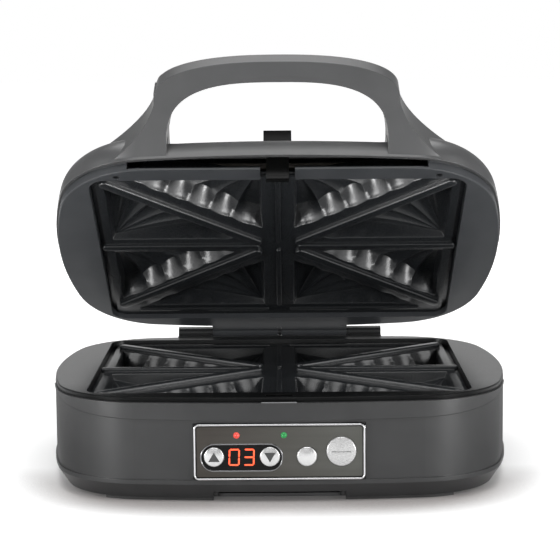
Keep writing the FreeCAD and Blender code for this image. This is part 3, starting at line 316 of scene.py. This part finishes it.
wearing = {
    "shellSatin": ("lid_cover",),
    "baseSatinPaintedShade": ("base_housing",),
    "deckSatin": ("base_deck",),
    "lidSatinPaintedLight": ("lid_deck",),
    "nonStick": ("lower_plate",),
    "lidNonStick": ("upper_plate",),
    "brightPlating": ("fascia_frame", "window_trim"),
    "gunmetal": ("control_fascia",),
    "smokedLens": ("display_window",),
    "silverLacquer": ("up_button", "down_button", "more_button", "start_button"),
    "redLens": ("power_lamp",),
    "greenLens": ("ready_lamp",),
    "latchGloss": ("latch_slider",),
    "footRubber": ("rubber_feet", "cord_gland"),
    "underPlastic": ("bottom_cover",),
    "plainSteel": ("bottom_screws", "deck_screws", "lower_shield_screws", "upper_shield_screws",
                   "lower_plate_screws", "upper_plate_screws", "board_screws", "lower_sensor",
                   "upper_sensor"),
    "darkSteel": ("lid_screws", "hinge_pin"),
    "platingPaintedShade": ("latch_keeper",),
    "heaterTube": ("lower_heater", "upper_heater"),
    "shieldSheet": ("lower_heat_shield", "upper_heat_shield"),
    "boardGreen": ("control_board", "power_board"),
    "partBlack": ("display_module", "tact_switches", "heater_relays"),
}
for name, members in wearing.items():
    for member in members:
        dress(cadNodes[member], finishes[name])
print("CAD nodes dressed")

# cast plates: shell pockets sunk into a flat web, with raised bars between them
plate = {"half": 145.4, "front": -272.0, "back": -32.0, "bend": 10.0, "bendSteps": 8,
         "ledge": (149.6 / 145.4, 120.6 / 120.0, 1), "ledgeDrop": 2.6, "skirtDrop": 1.6,
         "cross": -159.5, "rim": -5.8, "skin": 2.0, "mirrorLevel": -1.3, "smooth": 40}
pocket = {"shallow": 5.0, "deep": 16.0, "ridgeLift": 5.0, "flutes": 5, "perFlute": 8,
          "flatEnd": 0.5, "bulge": 2.0, "longRun": 9.5, "legRun": 3.0, "lip": 1.1, "rays": 14,
          "wallSteps": 6, "wallOut": 0.85, "wallUp": 1.1, "lipSteps": 3, "turnSteps": 8,
          "cornerPower": 6, "leastFacing": 0.02}
# each pocket's square corner and the two ends of its long side, in the plate's first quarter
pocketCells = (((12.4, 111.0), (121.0, 111.0), (12.4, 26.5)),
               ((139.6, 10.0), (139.6, 98.5), (34.0, 10.0)))
mirrorWays = ((1, 1), (-1, 1), (1, -1), (-1, -1))


# distance from an inner corner to the rim, rounded where two rims meet
def cornerRun(way, sides):
    power = pocket["cornerPower"]
    shares = [max(way.dot(normal), pocket["leastFacing"]) / run for normal, run in sides]
    return sum(share ** power for share in shares) ** (-1 / power)


def turnBetween(first, last, steps):
    start = math.atan2(first.y, first.x)
    swing = math.atan2(first.cross(last), first.dot(last))
    angles = [start + swing * step / steps for step in range(1, steps)]
    return [Vector((math.cos(angle), math.sin(angle))) for angle in angles]


def distinct(face):
    return list(dict.fromkeys(face))


# how the wall and its lip rise: share of the run, lip's part, share of the depth, level
def wallProfile():
    profile = []
    for step in range(1, pocket["wallSteps"] + 1):
        share = step / pocket["wallSteps"]
        profile.append((share ** pocket["wallOut"], 0.0, (1 - share) ** pocket["wallUp"],
                        -pocket["lip"]))
    for step in range(1, pocket["lipSteps"] + 1):
        angle = math.pi / 2 * step / pocket["lipSteps"]
        profile.append((1.0, pocket["lip"] * (1 - math.cos(angle)), 0.0,
                        pocket["lip"] * (math.sin(angle) - 1)))
    return profile


# floor fan of one pocket and the walls round it: points, faces and the closing rim
def pocketShape(square, first, last):
    corner, first, last = Vector(square), Vector(first), Vector(last)
    alongFirst = (first - corner).normalized()
    alongLast = (last - corner).normalized()
    slope = (last - first).normalized()
    longNormal = Vector((slope.y, -slope.x))
    longNormal *= math.copysign(1, longNormal.dot(first - corner))
    hub = corner + (alongFirst + alongLast) * pocket["legRun"]
    gap = (first - hub).dot(longNormal) - pocket["longRun"]
    firstEnd = hub + alongFirst * (gap / alongFirst.dot(longNormal))
    lastEnd = hub + alongLast * (gap / alongLast.dot(longNormal))
    points = [Vector((hub.x, hub.y, -pocket["shallow"]))]
    faces = []
    flutes, columns = pocket["flutes"], pocket["flutes"] * pocket["perFlute"]
    fall = pocket["deep"] - pocket["shallow"]
    floor = [[0] * (columns + 1)]
    for ray in range(1, pocket["rays"] + 1):
        part = ray / pocket["rays"]
        row = []
        for column in range(columns + 1):
            share = column / pocket["perFlute"]
            across = 2 * (share - min(math.floor(share), flutes - 1)) - 1
            swell = longNormal * pocket["bulge"] * (1 - across ** 2)
            end = firstEnd.lerp(lastEnd, column / columns) + swell
            spot = hub.lerp(end, part)
            depth = pocket["shallow"] + fall * math.sin(part * math.pi / 2)
            if pocket["flatEnd"] < share < flutes - pocket["flatEnd"]:
                depth -= pocket["ridgeLift"] * part * across ** 2
            row.append(len(points))
            points.append(Vector((spot.x, spot.y, -depth)))
        floor.append(row)
    for lower, upper in zip(floor, floor[1:]):
        for column in range(columns):
            faces.append((lower[column], lower[column + 1], upper[column + 1], upper[column]))
    longSide = (longNormal, pocket["longRun"])
    firstLeg = (-alongLast, pocket["legRun"])
    lastLeg = (-alongFirst, pocket["legRun"])
    path = [(index, *longSide) for index in floor[-1]]
    turns = ((floor[-1][-1], longSide, lastLeg, [row[-1] for row in reversed(floor)]),
             (0, lastLeg, firstLeg, [row[0] for row in floor]),
             (floor[-1][0], firstLeg, longSide, []))
    for index, before, after, leg in turns:
        for way in turnBetween(before[0], after[0], pocket["turnSteps"]):
            path.append((index, way, cornerRun(way, (before, after))))
        path += [(spot, *after) for spot in leg]
    ring = [index for index, way, run in path]
    for wallShare, lipShare, sunk, level in wallProfile():
        outer = []
        for index, way, run in path:
            base = points[index]
            reach = (run - pocket["lip"]) * wallShare + lipShare
            outer.append(len(points))
            points.append(Vector((base.x + way.x * reach, base.y + way.y * reach,
                                  (base.z + pocket["lip"]) * sunk + level)))
        for n, start in enumerate(ring):
            after = (n + 1) % len(ring)
            faces.append((start, ring[after], outer[after], outer[n]))
        ring = outer
    return points, [distinct(face) for face in faces], ring


def roundedLoop(halfWide, front, back, bend, steps):
    loop = []
    corners = ((1, front + bend, -90), (1, back - bend, 0),
               (-1, back - bend, 90), (-1, front + bend, 180))
    for side, hubY, turn in corners:
        for step in range(steps + 1):
            angle = math.radians(turn + 90 * step / steps)
            loop.append((side * (halfWide - bend) + bend * math.cos(angle),
                         hubY + bend * math.sin(angle)))
    return loop


def plateWeb(name):
    points, faces, rims = [], [], []
    for cell in pocketCells:
        cellPoints, cellFaces, cellRim = pocketShape(*cell)
        for sx, sy in mirrorWays:
            start = len(points)
            points += [(sx * p.x, plate["cross"] - sy * p.y, plate["rim"] + p.z)
                       for p in cellPoints]
            faces += [[start + index for index in face] for face in cellFaces]
            rims.append([start + index for index in cellRim])
    start = len(points)
    edge = roundedLoop(plate["half"], plate["front"], plate["back"], plate["bend"],
                       plate["bendSteps"])
    points += [(x, y, plate["rim"]) for x, y in edge]
    rims.append(list(range(start, len(points))))
    rimEdges = [(rim[n - 1], rim[n]) for rim in rims for n in range(len(rim))]
    piece = meshPiece(name, points, rimEdges, faces)
    editMode(piece, "EDGE")
    bpy.ops.mesh.select_all(action="SELECT")
    bpy.ops.mesh.remove_doubles(threshold=mergeGap)
    pickEdges(piece, lambda a, b: min(a.z, b.z) > plate["rim"] - levelSlack)
    bpy.ops.mesh.fill(use_beauty=True)
    bpy.ops.mesh.select_all(action="SELECT")
    bpy.ops.mesh.normals_make_consistent(inside=False)
    bpy.ops.object.mode_set(mode="OBJECT")
    upright = sum(face.normal.z * face.area for face in piece.data.polygons) > 0
    bpy.ops.object.mode_set(mode="EDIT")
    if not upright:
        bpy.ops.mesh.flip_normals()
    bpy.ops.mesh.select_all(action="DESELECT")
    bpy.ops.mesh.select_non_manifold(use_wire=False, use_multi_face=False,
                                     use_non_contiguous=False, use_verts=False)
    moveOut((0, 0, -plate["ledgeDrop"]))
    moveOut((0, 0, 0))
    bpy.ops.transform.resize(value=plate["ledge"])
    moveOut((0, 0, -plate["skirtDrop"]))
    bpy.ops.object.mode_set(mode="OBJECT")
    wall = piece.modifiers.new("wall", "SOLIDIFY")
    wall.thickness = plate["skin"]
    wall.offset = -1
    bpy.ops.object.modifier_apply(modifier="wall")
    return piece


# bars: start, end, width and height, mirrored into the other quarters
bars = {"diagonal": ((15.0, 6.5), (141.0, 107.0), 8.5, 4.0),
        "rail": ((16.0, 0.0), (148.5, 0.0), 7.0, 3.0),
        "spine": ((0.0, 6.5), (0.0, 109.0), 4.0, 2.0),
        "edge": ((9.0, 117.6), (125.0, 117.6), 3.4, 1.6)}
barWays = {"diagonal": mirrorWays, "rail": ((1, 1), (-1, 1)), "spine": ((1, 1), (1, -1)),
           "edge": ((1, 1), (-1, 1))}
barShape = {"foot": 1.0, "endRound": 0.45, "endSteps": 6, "topRound": 0.22, "topMost": 0.4,
            "topSteps": 4}
stem = {"radius": 5.0, "spots": (-100.0, -219.0), "low": -33.6, "high": -7.0, "steps": 32}
lug = {"inner": 138.0, "outer": 160.0, "spots": (-105.0, -205.0), "half": 6.0, "low": -13.4,
       "high": -9.4}


def plateBar(name, start, end, width, high):
    start, end = Vector(start), Vector(end)
    tall = high + barShape["foot"]
    clearSelection()
    bpy.ops.mesh.primitive_cube_add(size=1)
    piece = named(name)
    editMode(piece, "EDGE")
    bpy.ops.mesh.select_all(action="SELECT")
    bpy.ops.transform.resize(value=((end - start).length, width, tall))
    pickEdges(piece, standing)
    bpy.ops.mesh.bevel(offset=width * barShape["endRound"], segments=barShape["endSteps"])
    pickEdges(piece, lambda a, b: min(a.z, b.z) > tall / 2 - levelSlack)
    bpy.ops.mesh.bevel(offset=min(width * barShape["topRound"], high * barShape["topMost"]),
                       segments=barShape["topSteps"])
    bpy.ops.object.mode_set(mode="OBJECT")
    turn = math.atan2(end.y - start.y, end.x - start.x)
    middle = (start + end) / 2
    level = plate["rim"] + (high - barShape["foot"]) / 2
    place = Matrix.Translation((middle.x, plate["cross"] + middle.y, level))
    lay(piece, place @ Matrix.Rotation(turn, 4, "Z"))
    return piece


def plateBars(name):
    pieces = []
    for kind, (start, end, width, high) in bars.items():
        for sx, sy in barWays[kind]:
            pieces.append(plateBar(name + kind, (sx * start[0], sy * start[1]),
                                   (sx * end[0], sy * end[1]), width, high))
    return pieces


def plateFixings(name):
    pieces = []
    for spot in stem["spots"]:
        clearSelection()
        bpy.ops.mesh.primitive_cylinder_add(
            vertices=stem["steps"], radius=stem["radius"], depth=stem["high"] - stem["low"],
            location=(0, spot, (stem["high"] + stem["low"]) / 2))
        bpy.ops.object.transform_apply(location=True, rotation=True, scale=True)
        pieces.append(named(name + "Stem"))
    size = (lug["outer"] - lug["inner"], lug["half"] * 2, lug["high"] - lug["low"])
    for side in (1, -1):
        for spot in lug["spots"]:
            middle = (side * (lug["inner"] + lug["outer"]) / 2, spot,
                      (lug["low"] + lug["high"]) / 2)
            clearSelection()
            bpy.ops.mesh.primitive_cube_add(size=1, location=middle)
            bpy.ops.transform.resize(value=size)
            bpy.ops.object.transform_apply(location=True, rotation=True, scale=True)
            pieces.append(named(name + "Lug"))
    return pieces


for name, body, node, lid in (("lowerToastPlate", "base", "lower_plate", False),
                              ("upperToastPlate", "lid", "upper_plate", True)):
    casting = joined(name, [plateWeb(name)] + plateBars(name) + plateFixings(name))
    if lid:
        flip = Matrix.Scale(-1, 4, (0, 0, 1))
        lay(casting, Matrix.Translation((0, 0, 2 * plate["mirrorLevel"])) @ flip)
    closeUp(casting, plate["smooth"])
    lay(casting, lidLay if lid else baseLay)
    dress(casting, finishes["lidNonStick" if lid else "nonStick"])
    handOver(casting, body, "nonstick_casting", node)
print("plates cast")

# control panel, drawn flat and laid on the front face: bright rim and window trim
panelLay = baseLay @ Matrix.Rotation(math.radians(90), 4, "X")
panelRim = {"half": (65.5, 21.8), "bend": 4.0, "band": 1.5, "back": 293.4, "front": 298.8,
            "soft": 0.6, "spot": (0.0, -43.2)}
windowTrim = {"half": (31.7, 11.0), "bend": 10.8, "band": 1.1, "back": 293.4, "front": 298.2,
              "soft": 0.4, "spot": (-28.9, -47.6)}
bandShape = {"bendSteps": 12, "softSteps": 3, "softAngle": 50}


def ringBand(name, look):
    clearSelection()
    bpy.ops.mesh.primitive_plane_add(size=2)
    piece = named(name)
    editMode(piece, "VERT")
    bpy.ops.mesh.select_all(action="SELECT")
    bpy.ops.transform.resize(value=(*look["half"], 1))
    bpy.ops.transform.translate(value=(*look["spot"], look["back"]))
    bpy.ops.mesh.bevel(offset=look["bend"], segments=bandShape["bendSteps"], affect="VERTICES")
    bpy.ops.mesh.select_mode(type="FACE")
    bpy.ops.mesh.select_all(action="SELECT")
    bpy.ops.mesh.inset(thickness=look["band"])
    bpy.ops.mesh.delete(type="FACE")
    bpy.ops.mesh.select_all(action="SELECT")
    moveOut((0, 0, look["front"] - look["back"]))
    only(piece)
    soft = piece.modifiers.new("soft", "BEVEL")
    soft.width = look["soft"]
    soft.segments = bandShape["softSteps"]
    soft.limit_method = "ANGLE"
    soft.angle_limit = math.radians(bandShape["softAngle"])
    bpy.ops.object.modifier_apply(modifier="soft")
    closeUp(piece)
    return piece


# the window trim wears the plating's darker copy, painted shade
for name, look, plating, replaced in (("panelRim", panelRim, "brightPlating", "fascia_frame"),
                                      ("windowTrim", windowTrim, "platingPaintedShade", "window_trim")):
    band = ringBand(name, look)
    lay(band, panelLay)
    dress(band, finishes[plating])
    handOver(band, "base", "bright_trim", replaced)


def turned(name, profile, steps):
    points = [(radius, 0, level) for radius, level in profile]
    piece = meshPiece(name, points, [(n, n + 1) for n in range(len(profile) - 1)], [])
    editMode(piece, "EDGE")
    bpy.ops.mesh.select_all(action="SELECT")
    bpy.ops.mesh.spin(steps=steps, angle=math.tau, center=(0, 0, 0), axis=(0, 0, 1))
    bpy.ops.object.mode_set(mode="OBJECT")
    closeUp(piece)
    return piece


# keys: a domed cap on a flange and a stem, with a printed mark
key = {"front": 299.9, "dome": 0.7, "edge": 1.1, "flange": 1.6, "flangeBack": 291.7,
       "flangeFront": 293.1, "stem": 2.0, "stemBack": 284.4, "markHigh": 0.06, "markDeep": 0.5,
       "edgeSteps": 4, "domeSteps": 8, "steps": 56}
keys = {"up": {"spot": (-50.0, -46.9), "radius": 7.6,
               "mark": ((-4.3, -3.4), (4.3, -3.4), (0.0, 4.0))},
        "down": {"spot": (-7.3, -46.9), "radius": 7.6,
                 "mark": ((-4.3, 3.4), (4.3, 3.4), (0.0, -4.0))},
        "more": {"spot": (20.9, -46.9), "radius": 7.6, "mark": None},
        "start": {"spot": (47.2, -43.1), "radius": 11.4,
                  "mark": ((-7.4, -0.22), (7.4, -0.22), (7.4, 0.22), (-7.4, 0.22))}}


def keyCap(name, radius):
    front, edge, wide = key["front"], key["edge"], radius + key["flange"]
    profile = [(0, key["stemBack"]), (key["stem"], key["stemBack"]),
               (key["stem"], key["flangeBack"]), (wide, key["flangeBack"]),
               (wide, key["flangeFront"]), (radius, key["flangeFront"])]
    flat = radius - edge
    for step in range(key["edgeSteps"] + 1):
        angle = math.pi / 2 * step / key["edgeSteps"]
        profile.append((flat + edge * math.cos(angle),
                        front - key["dome"] - edge + edge * math.sin(angle)))
    for step in range(1, key["domeSteps"] + 1):
        share = 1 - step / key["domeSteps"]
        profile.append((flat * share, front - key["dome"] * share ** 2))
    return turned(name, profile, key["steps"])


def keyMark(name, corners):
    points = [(x, y, key["front"] - key["markDeep"]) for x, y in corners]
    piece = meshPiece(name, points, [], [tuple(range(len(corners)))])
    editMode(piece)
    bpy.ops.mesh.select_all(action="SELECT")
    moveOut((0, 0, key["markDeep"] + key["markHigh"]))
    bpy.ops.object.mode_set(mode="OBJECT")
    closeUp(piece)
    return piece


for word, look in keys.items():
    parts = [keyCap(word + "Key", look["radius"])]
    dress(parts[0], finishes["brushedSilver" if word == "start" else "silverLacquer"])
    if look["mark"]:
        parts.append(keyMark(word + "Mark", look["mark"]))
        dress(parts[1], finishes["printGrey"])
    cap = joined(word + "Key", parts)
    lay(cap, panelLay @ Matrix.Translation((*look["spot"], 0)))
    handOver(cap, word + "_button", "silver_keys", word + "_button")

# lit digits: each segment's place across, its rise in quarters, and whether it stands
digit = {"high": 13.2, "wide": 8.5, "pitch": 11.3, "stroke": 1.2, "gap": 1.3, "slant": 0.03,
         "back": 297.7, "front": 298.02, "spot": (-28.9, -47.2), "endReach": 0.7,
         "endRound": 0.44, "endSteps": 2}
segments = {"top": (0, 2, 0), "upperLeft": (-1, 1, 1), "upperRight": (1, 1, 1),
            "middle": (0, 0, 0), "lowerLeft": (-1, -1, 1), "lowerRight": (1, -1, 1),
            "bottom": (0, -2, 0)}
shown = (("top", "upperLeft", "upperRight", "lowerLeft", "lowerRight", "bottom"),
         ("top", "upperRight", "middle", "lowerRight", "bottom"))


def litSegment(name, across, rise, upright):
    stroke = digit["stroke"]
    halfWide = (digit["wide"] - stroke) / 2
    quarter = (digit["high"] - stroke) / 4
    length = (quarter if upright else halfWide) * 2 - digit["gap"] + stroke * digit["endReach"]
    clearSelection()
    bpy.ops.mesh.primitive_cube_add(size=1)
    piece = named(name)
    editMode(piece, "EDGE")
    bpy.ops.mesh.select_all(action="SELECT")
    bpy.ops.transform.resize(value=(length, stroke, digit["front"] - digit["back"]))
    pickEdges(piece, standing)
    bpy.ops.mesh.bevel(offset=stroke * digit["endRound"], segments=digit["endSteps"])
    bpy.ops.object.mode_set(mode="OBJECT")
    turn = Matrix.Rotation(math.pi / 2 if upright else 0, 4, "Z")
    middle = (across * halfWide, rise * quarter, (digit["front"] + digit["back"]) / 2)
    lay(piece, Matrix.Translation(middle) @ turn)
    return piece


lit = []
lean = Matrix.Identity(4)
lean[0][1] = digit["slant"]
for n, parts in enumerate(shown):
    spotX = digit["spot"][0] + (n - (len(shown) - 1) / 2) * digit["pitch"]
    place = Matrix.Translation((spotX, digit["spot"][1], 0))
    for part in parts:
        bit = litSegment("litSegment", *segments[part])
        lay(bit, place @ lean)
        lit.append(bit)
digits = joined("litDigits", lit)
closeUp(digits)
lay(digits, panelLay)
dress(digits, finishes["litRed"])
handOver(digits, "base", "display_body")
print("control panel made")

# hinge pin, with a dark spacer in each gap between the knuckles
hingePin = {"radius": 2.5, "half": 92.0, "spacer": 4.7, "steps": 32,
            "gaps": ((-61.9, -61.3), (-1.4, 1.4), (61.3, 61.9))}
pinLine = [(0, -hingePin["half"]), (hingePin["radius"], -hingePin["half"])]
for low, high in hingePin["gaps"]:
    pinLine += [(hingePin["radius"], low), (hingePin["spacer"], low),
                (hingePin["spacer"], high), (hingePin["radius"], high)]
pinLine += [(hingePin["radius"], hingePin["half"]), (0, hingePin["half"])]
pin = turned("hingeRod", pinLine, hingePin["steps"])
lay(pin, baseLay @ Matrix.Rotation(math.radians(90), 4, "Y"))
dress(pin, finishes["darkSteel"])
handOver(pin, "base", "screw_steel", "hinge_pin")

# web that closes the slit between the two arms of the lid's hinge leaf
leafWeb = {"half": (1.45, 4.0, 1.7), "spot": (0.0, -9.2, 1.0)}
clearSelection()
bpy.ops.mesh.primitive_cube_add(size=2)
web = named("hingeLeafWeb")
editMode(web)
bpy.ops.mesh.select_all(action="SELECT")
bpy.ops.transform.resize(value=leafWeb["half"])
bpy.ops.transform.translate(value=leafWeb["spot"])
closeUp(web)
lay(web, lidLay)
# the web wears the lid deck's lighter copy, with its painted light
dress(web, finishes["lidSatinPaintedLight"])
handOver(web, "lid", "shell_plastic")
print("hinge closed up")

# stage: a white sheet and room that straight, mirrored and glass rays see
stageLook = {"floorSize": 14.0, "floorSpot": (0, 3.5, 0), "floorColour": 0.90, "floorRough": 0.9,
             "floorGlow": (0.05, 0.85), "glowEdge": (0.35, 1.6), "dimTone": 0.25,
             "frontEdge": (-0.75, -0.40), "cardEdge": (0.10, 0.30), "besideEdge": (-0.30, -0.10),
             "sideEdge": (0.17, 0.22), "sideEnd": (0.42, 0.55), "contactReach": 0.055,
             "contactSamples": 8, "contactEdge": (0.40, 0.90), "contactEnd": (-0.13, -0.03),
             "contactLean": (0.0, 0.75, 0.66), "contactColour": (0.30, 0.28, 0.274),
             "backRoom": 1.0, "room": 0.22, "backdrop": (0.92, 0.98)}


def combined(tree, kind, first, second):
    maths = tree.nodes.new("ShaderNodeMath")
    maths.operation = kind
    tree.links.new(first, maths.inputs[0])
    tree.links.new(second, maths.inputs[1])
    return maths.outputs["Value"]


def seenRays(rays):
    tree, seen = rays.id_data, rays.outputs
    mirrored = combined(tree, "MAXIMUM", seen["Is Glossy Ray"], seen["Is Transmission Ray"])
    return combined(tree, "MAXIMUM", seen["Is Camera Ray"], mirrored)


clearSelection()
bpy.ops.mesh.primitive_plane_add(size=stageLook["floorSize"], location=stageLook["floorSpot"])
floor = named("floorSheet")
bpy.ops.object.transform_apply(location=True, rotation=True, scale=True)
floorPaper, floorTree, floorShader = plainMaterial("floorPaper")
floorPlace = objectPlace(floorTree)
floorAxes = objectAxes(floorTree, floorPlace)
floorRays = floorTree.nodes.new("ShaderNodeLightPath")
absolute = floorTree.nodes.new("ShaderNodeMath")
absolute.operation = "ABSOLUTE"
floorTree.links.new(floorAxes["X"], absolute.inputs[0])
sideways = absolute.outputs["Value"]
# mirrored rays find the floor dimmer in front of the middle and close beside the base
dimFront = combined(floorTree, "MULTIPLY",
                    spread(floorTree, floorAxes["Y"], *stageLook["frontEdge"], 1, 0),
                    spread(floorTree, sideways, *stageLook["cardEdge"], 1, 0))
sideBand = combined(floorTree, "MULTIPLY",
                    spread(floorTree, sideways, *stageLook["sideEdge"], 0, 1),
                    spread(floorTree, sideways, *stageLook["sideEnd"], 1, 0))
dimSide = combined(floorTree, "MULTIPLY", sideBand,
                   spread(floorTree, floorAxes["Y"], *stageLook["besideEdge"], 0, 1))
dimFloor = combined(floorTree, "MAXIMUM", dimFront, dimSide)
mirroredDim = combined(floorTree, "MULTIPLY", floorRays.outputs["Is Glossy Ray"], dimFloor)
floorTone = tint(floorTree, mirroredDim, (stageLook["floorColour"],) * 3,
                 (stageLook["dimTone"],) * 3)
# contact shade, leaning towards the object so that it falls forwards
contact = floorTree.nodes.new("ShaderNodeAmbientOcclusion")
contact.samples = stageLook["contactSamples"]
contact.inputs["Distance"].default_value = stageLook["contactReach"]
contactLean = floorTree.nodes.new("ShaderNodeCombineXYZ")
for axis, share in zip("XYZ", stageLook["contactLean"]):
    contactLean.inputs[axis].default_value = share
floorTree.links.new(contactLean.outputs["Vector"], contact.inputs["Normal"])
contactShade = floorTree.nodes.new("ShaderNodeMix")
contactShade.data_type = "RGBA"
contactShade.inputs["A"].default_value = (*stageLook["contactColour"], 1)
bare = combined(floorTree, "MAXIMUM",
                spread(floorTree, contact.outputs["AO"], *stageLook["contactEdge"], 0, 1),
                spread(floorTree, floorAxes["Y"], *stageLook["contactEnd"], 0, 1))
floorTree.links.new(bare, contactShade.inputs["Factor"])
floorTree.links.new(floorTone, contactShade.inputs["B"])
floorTree.links.new(contactShade.outputs["Result"], floorShader.inputs["Base Color"])
floorShader.inputs["Roughness"].default_value = stageLook["floorRough"]
floorShader.inputs["Specular IOR Level"].default_value = 0.0
# the lamps' pool fades with distance, so the paper's own white takes over there
reach = floorTree.nodes.new("ShaderNodeVectorMath")
reach.operation = "LENGTH"
floorTree.links.new(floorPlace, reach.inputs[0])
distant = spread(floorTree, reach.outputs["Value"], *stageLook["glowEdge"],
                 *stageLook["floorGlow"])
floorSeen = combined(floorTree, "MULTIPLY", seenRays(floorRays),
                     spread(floorTree, mirroredDim, 0, 1, 1, 0))
floorTree.links.new(combined(floorTree, "MULTIPLY", floorSeen, distant),
                    floorShader.inputs["Emission Strength"])
floorShader.inputs["Emission Color"].default_value = (1, 1, 1, 1)
dress(floor, floorPaper)

world = bpy.data.worlds.new("studioRoom")
bpy.context.scene.world = world
world.use_nodes = True
room = world.node_tree
backLight = room.nodes["Background"]
rays = room.nodes.new("ShaderNodeLightPath")
direction = room.nodes.new("ShaderNodeTexCoord")
roomAxes = objectAxes(room, direction.outputs["Generated"])
backdrop = spread(room, roomAxes["Y"], *stageLook["backdrop"], 0, 1)
backSeen = combined(room, "MULTIPLY", seenRays(rays), backdrop)
white = combined(room, "MAXIMUM", rays.outputs["Is Camera Ray"], backSeen)
room.links.new(spread(room, white, 0, 1, stageLook["room"], stageLook["backRoom"]),
               backLight.inputs["Strength"])
backLight.inputs["Color"].default_value = (1, 1, 1, 1)

lamps = (
    {"name": "topSoftbox", "spot": (0.0, 0.60, 1.8), "aim": (0, 0.0, 0.1),
     "size": (1.8, 1.2), "power": 25.0},
    {"name": "highFront", "spot": (0.0, -0.95, 1.95), "aim": (0, 0, 0.2),
     "size": (1.7, 0.8), "power": 22.0},
    {"name": "lowFront", "spot": (-0.2, -2.2, 0.5), "aim": (0, 0, 0.2),
     "size": (1.0, 0.5), "power": 1.2},
    {"name": "cornerLeft", "spot": (-0.75, -0.72, 0.11), "aim": (-0.16, -0.06, 0.06),
     "size": (0.3, 0.18), "power": 5.0},
    {"name": "cornerRight", "spot": (0.75, -0.72, 0.11), "aim": (0.16, -0.06, 0.06),
     "size": (0.3, 0.18), "power": 5.0},
    {"name": "sideLeft", "spot": (-1.35, -0.45, 0.66), "aim": (0, -0.1, 0.3),
     "size": (0.8, 1.3), "power": 8.5},
    {"name": "sideRight", "spot": (1.35, -0.45, 0.66), "aim": (0, -0.1, 0.3),
     "size": (0.8, 1.3), "power": 9.5},
)
for lamp in lamps:
    clearSelection()
    bpy.ops.object.light_add(type="AREA", location=lamp["spot"])
    light = named(lamp["name"])
    light.data.shape = "RECTANGLE"
    light.data.size, light.data.size_y = lamp["size"]
    light.data.energy = lamp["power"]
    way = Vector(lamp["aim"]) - Vector(lamp["spot"])
    light.rotation_euler = way.to_track_quat("-Z", "Y").to_euler()

# the photograph's camera, placed in mm from the hinge
shot = {"spot": (4.986, -1676.367, 278.815), "pitch": 7.842, "yaw": 0.148, "roll": -0.455,
        "focalPixels": 1850.0, "framePixels": 560.0, "sensor": 36.0, "farthest": 60}
clearSelection()
bpy.ops.object.camera_add()
camera = named("photoCamera")
turn = Matrix.Rotation(math.radians(shot["yaw"]), 3, "Z")
pitch = math.radians(shot["pitch"])
sight = turn @ Vector((0, math.cos(pitch), -math.sin(pitch)))
right = turn @ Vector((1, 0, 0))
up = right.cross(sight)
roll = math.radians(shot["roll"])
across = right * math.cos(roll) + up * math.sin(roll)
upright = up * math.cos(roll) - right * math.sin(roll)
stand = hingeSpot + Vector(shot["spot"]) * mm
camera.matrix_world = Matrix((
    (across.x, upright.x, -sight.x, stand.x),
    (across.y, upright.y, -sight.y, stand.y),
    (across.z, upright.z, -sight.z, stand.z),
    (0, 0, 0, 1)))
camera.data.sensor_width = shot["sensor"]
camera.data.lens = shot["focalPixels"] / shot["framePixels"] * shot["sensor"]
camera.data.clip_end = shot["farthest"]
bpy.context.scene.camera = camera
bpy.context.scene.view_settings.view_transform = "Standard"
print("stage set")
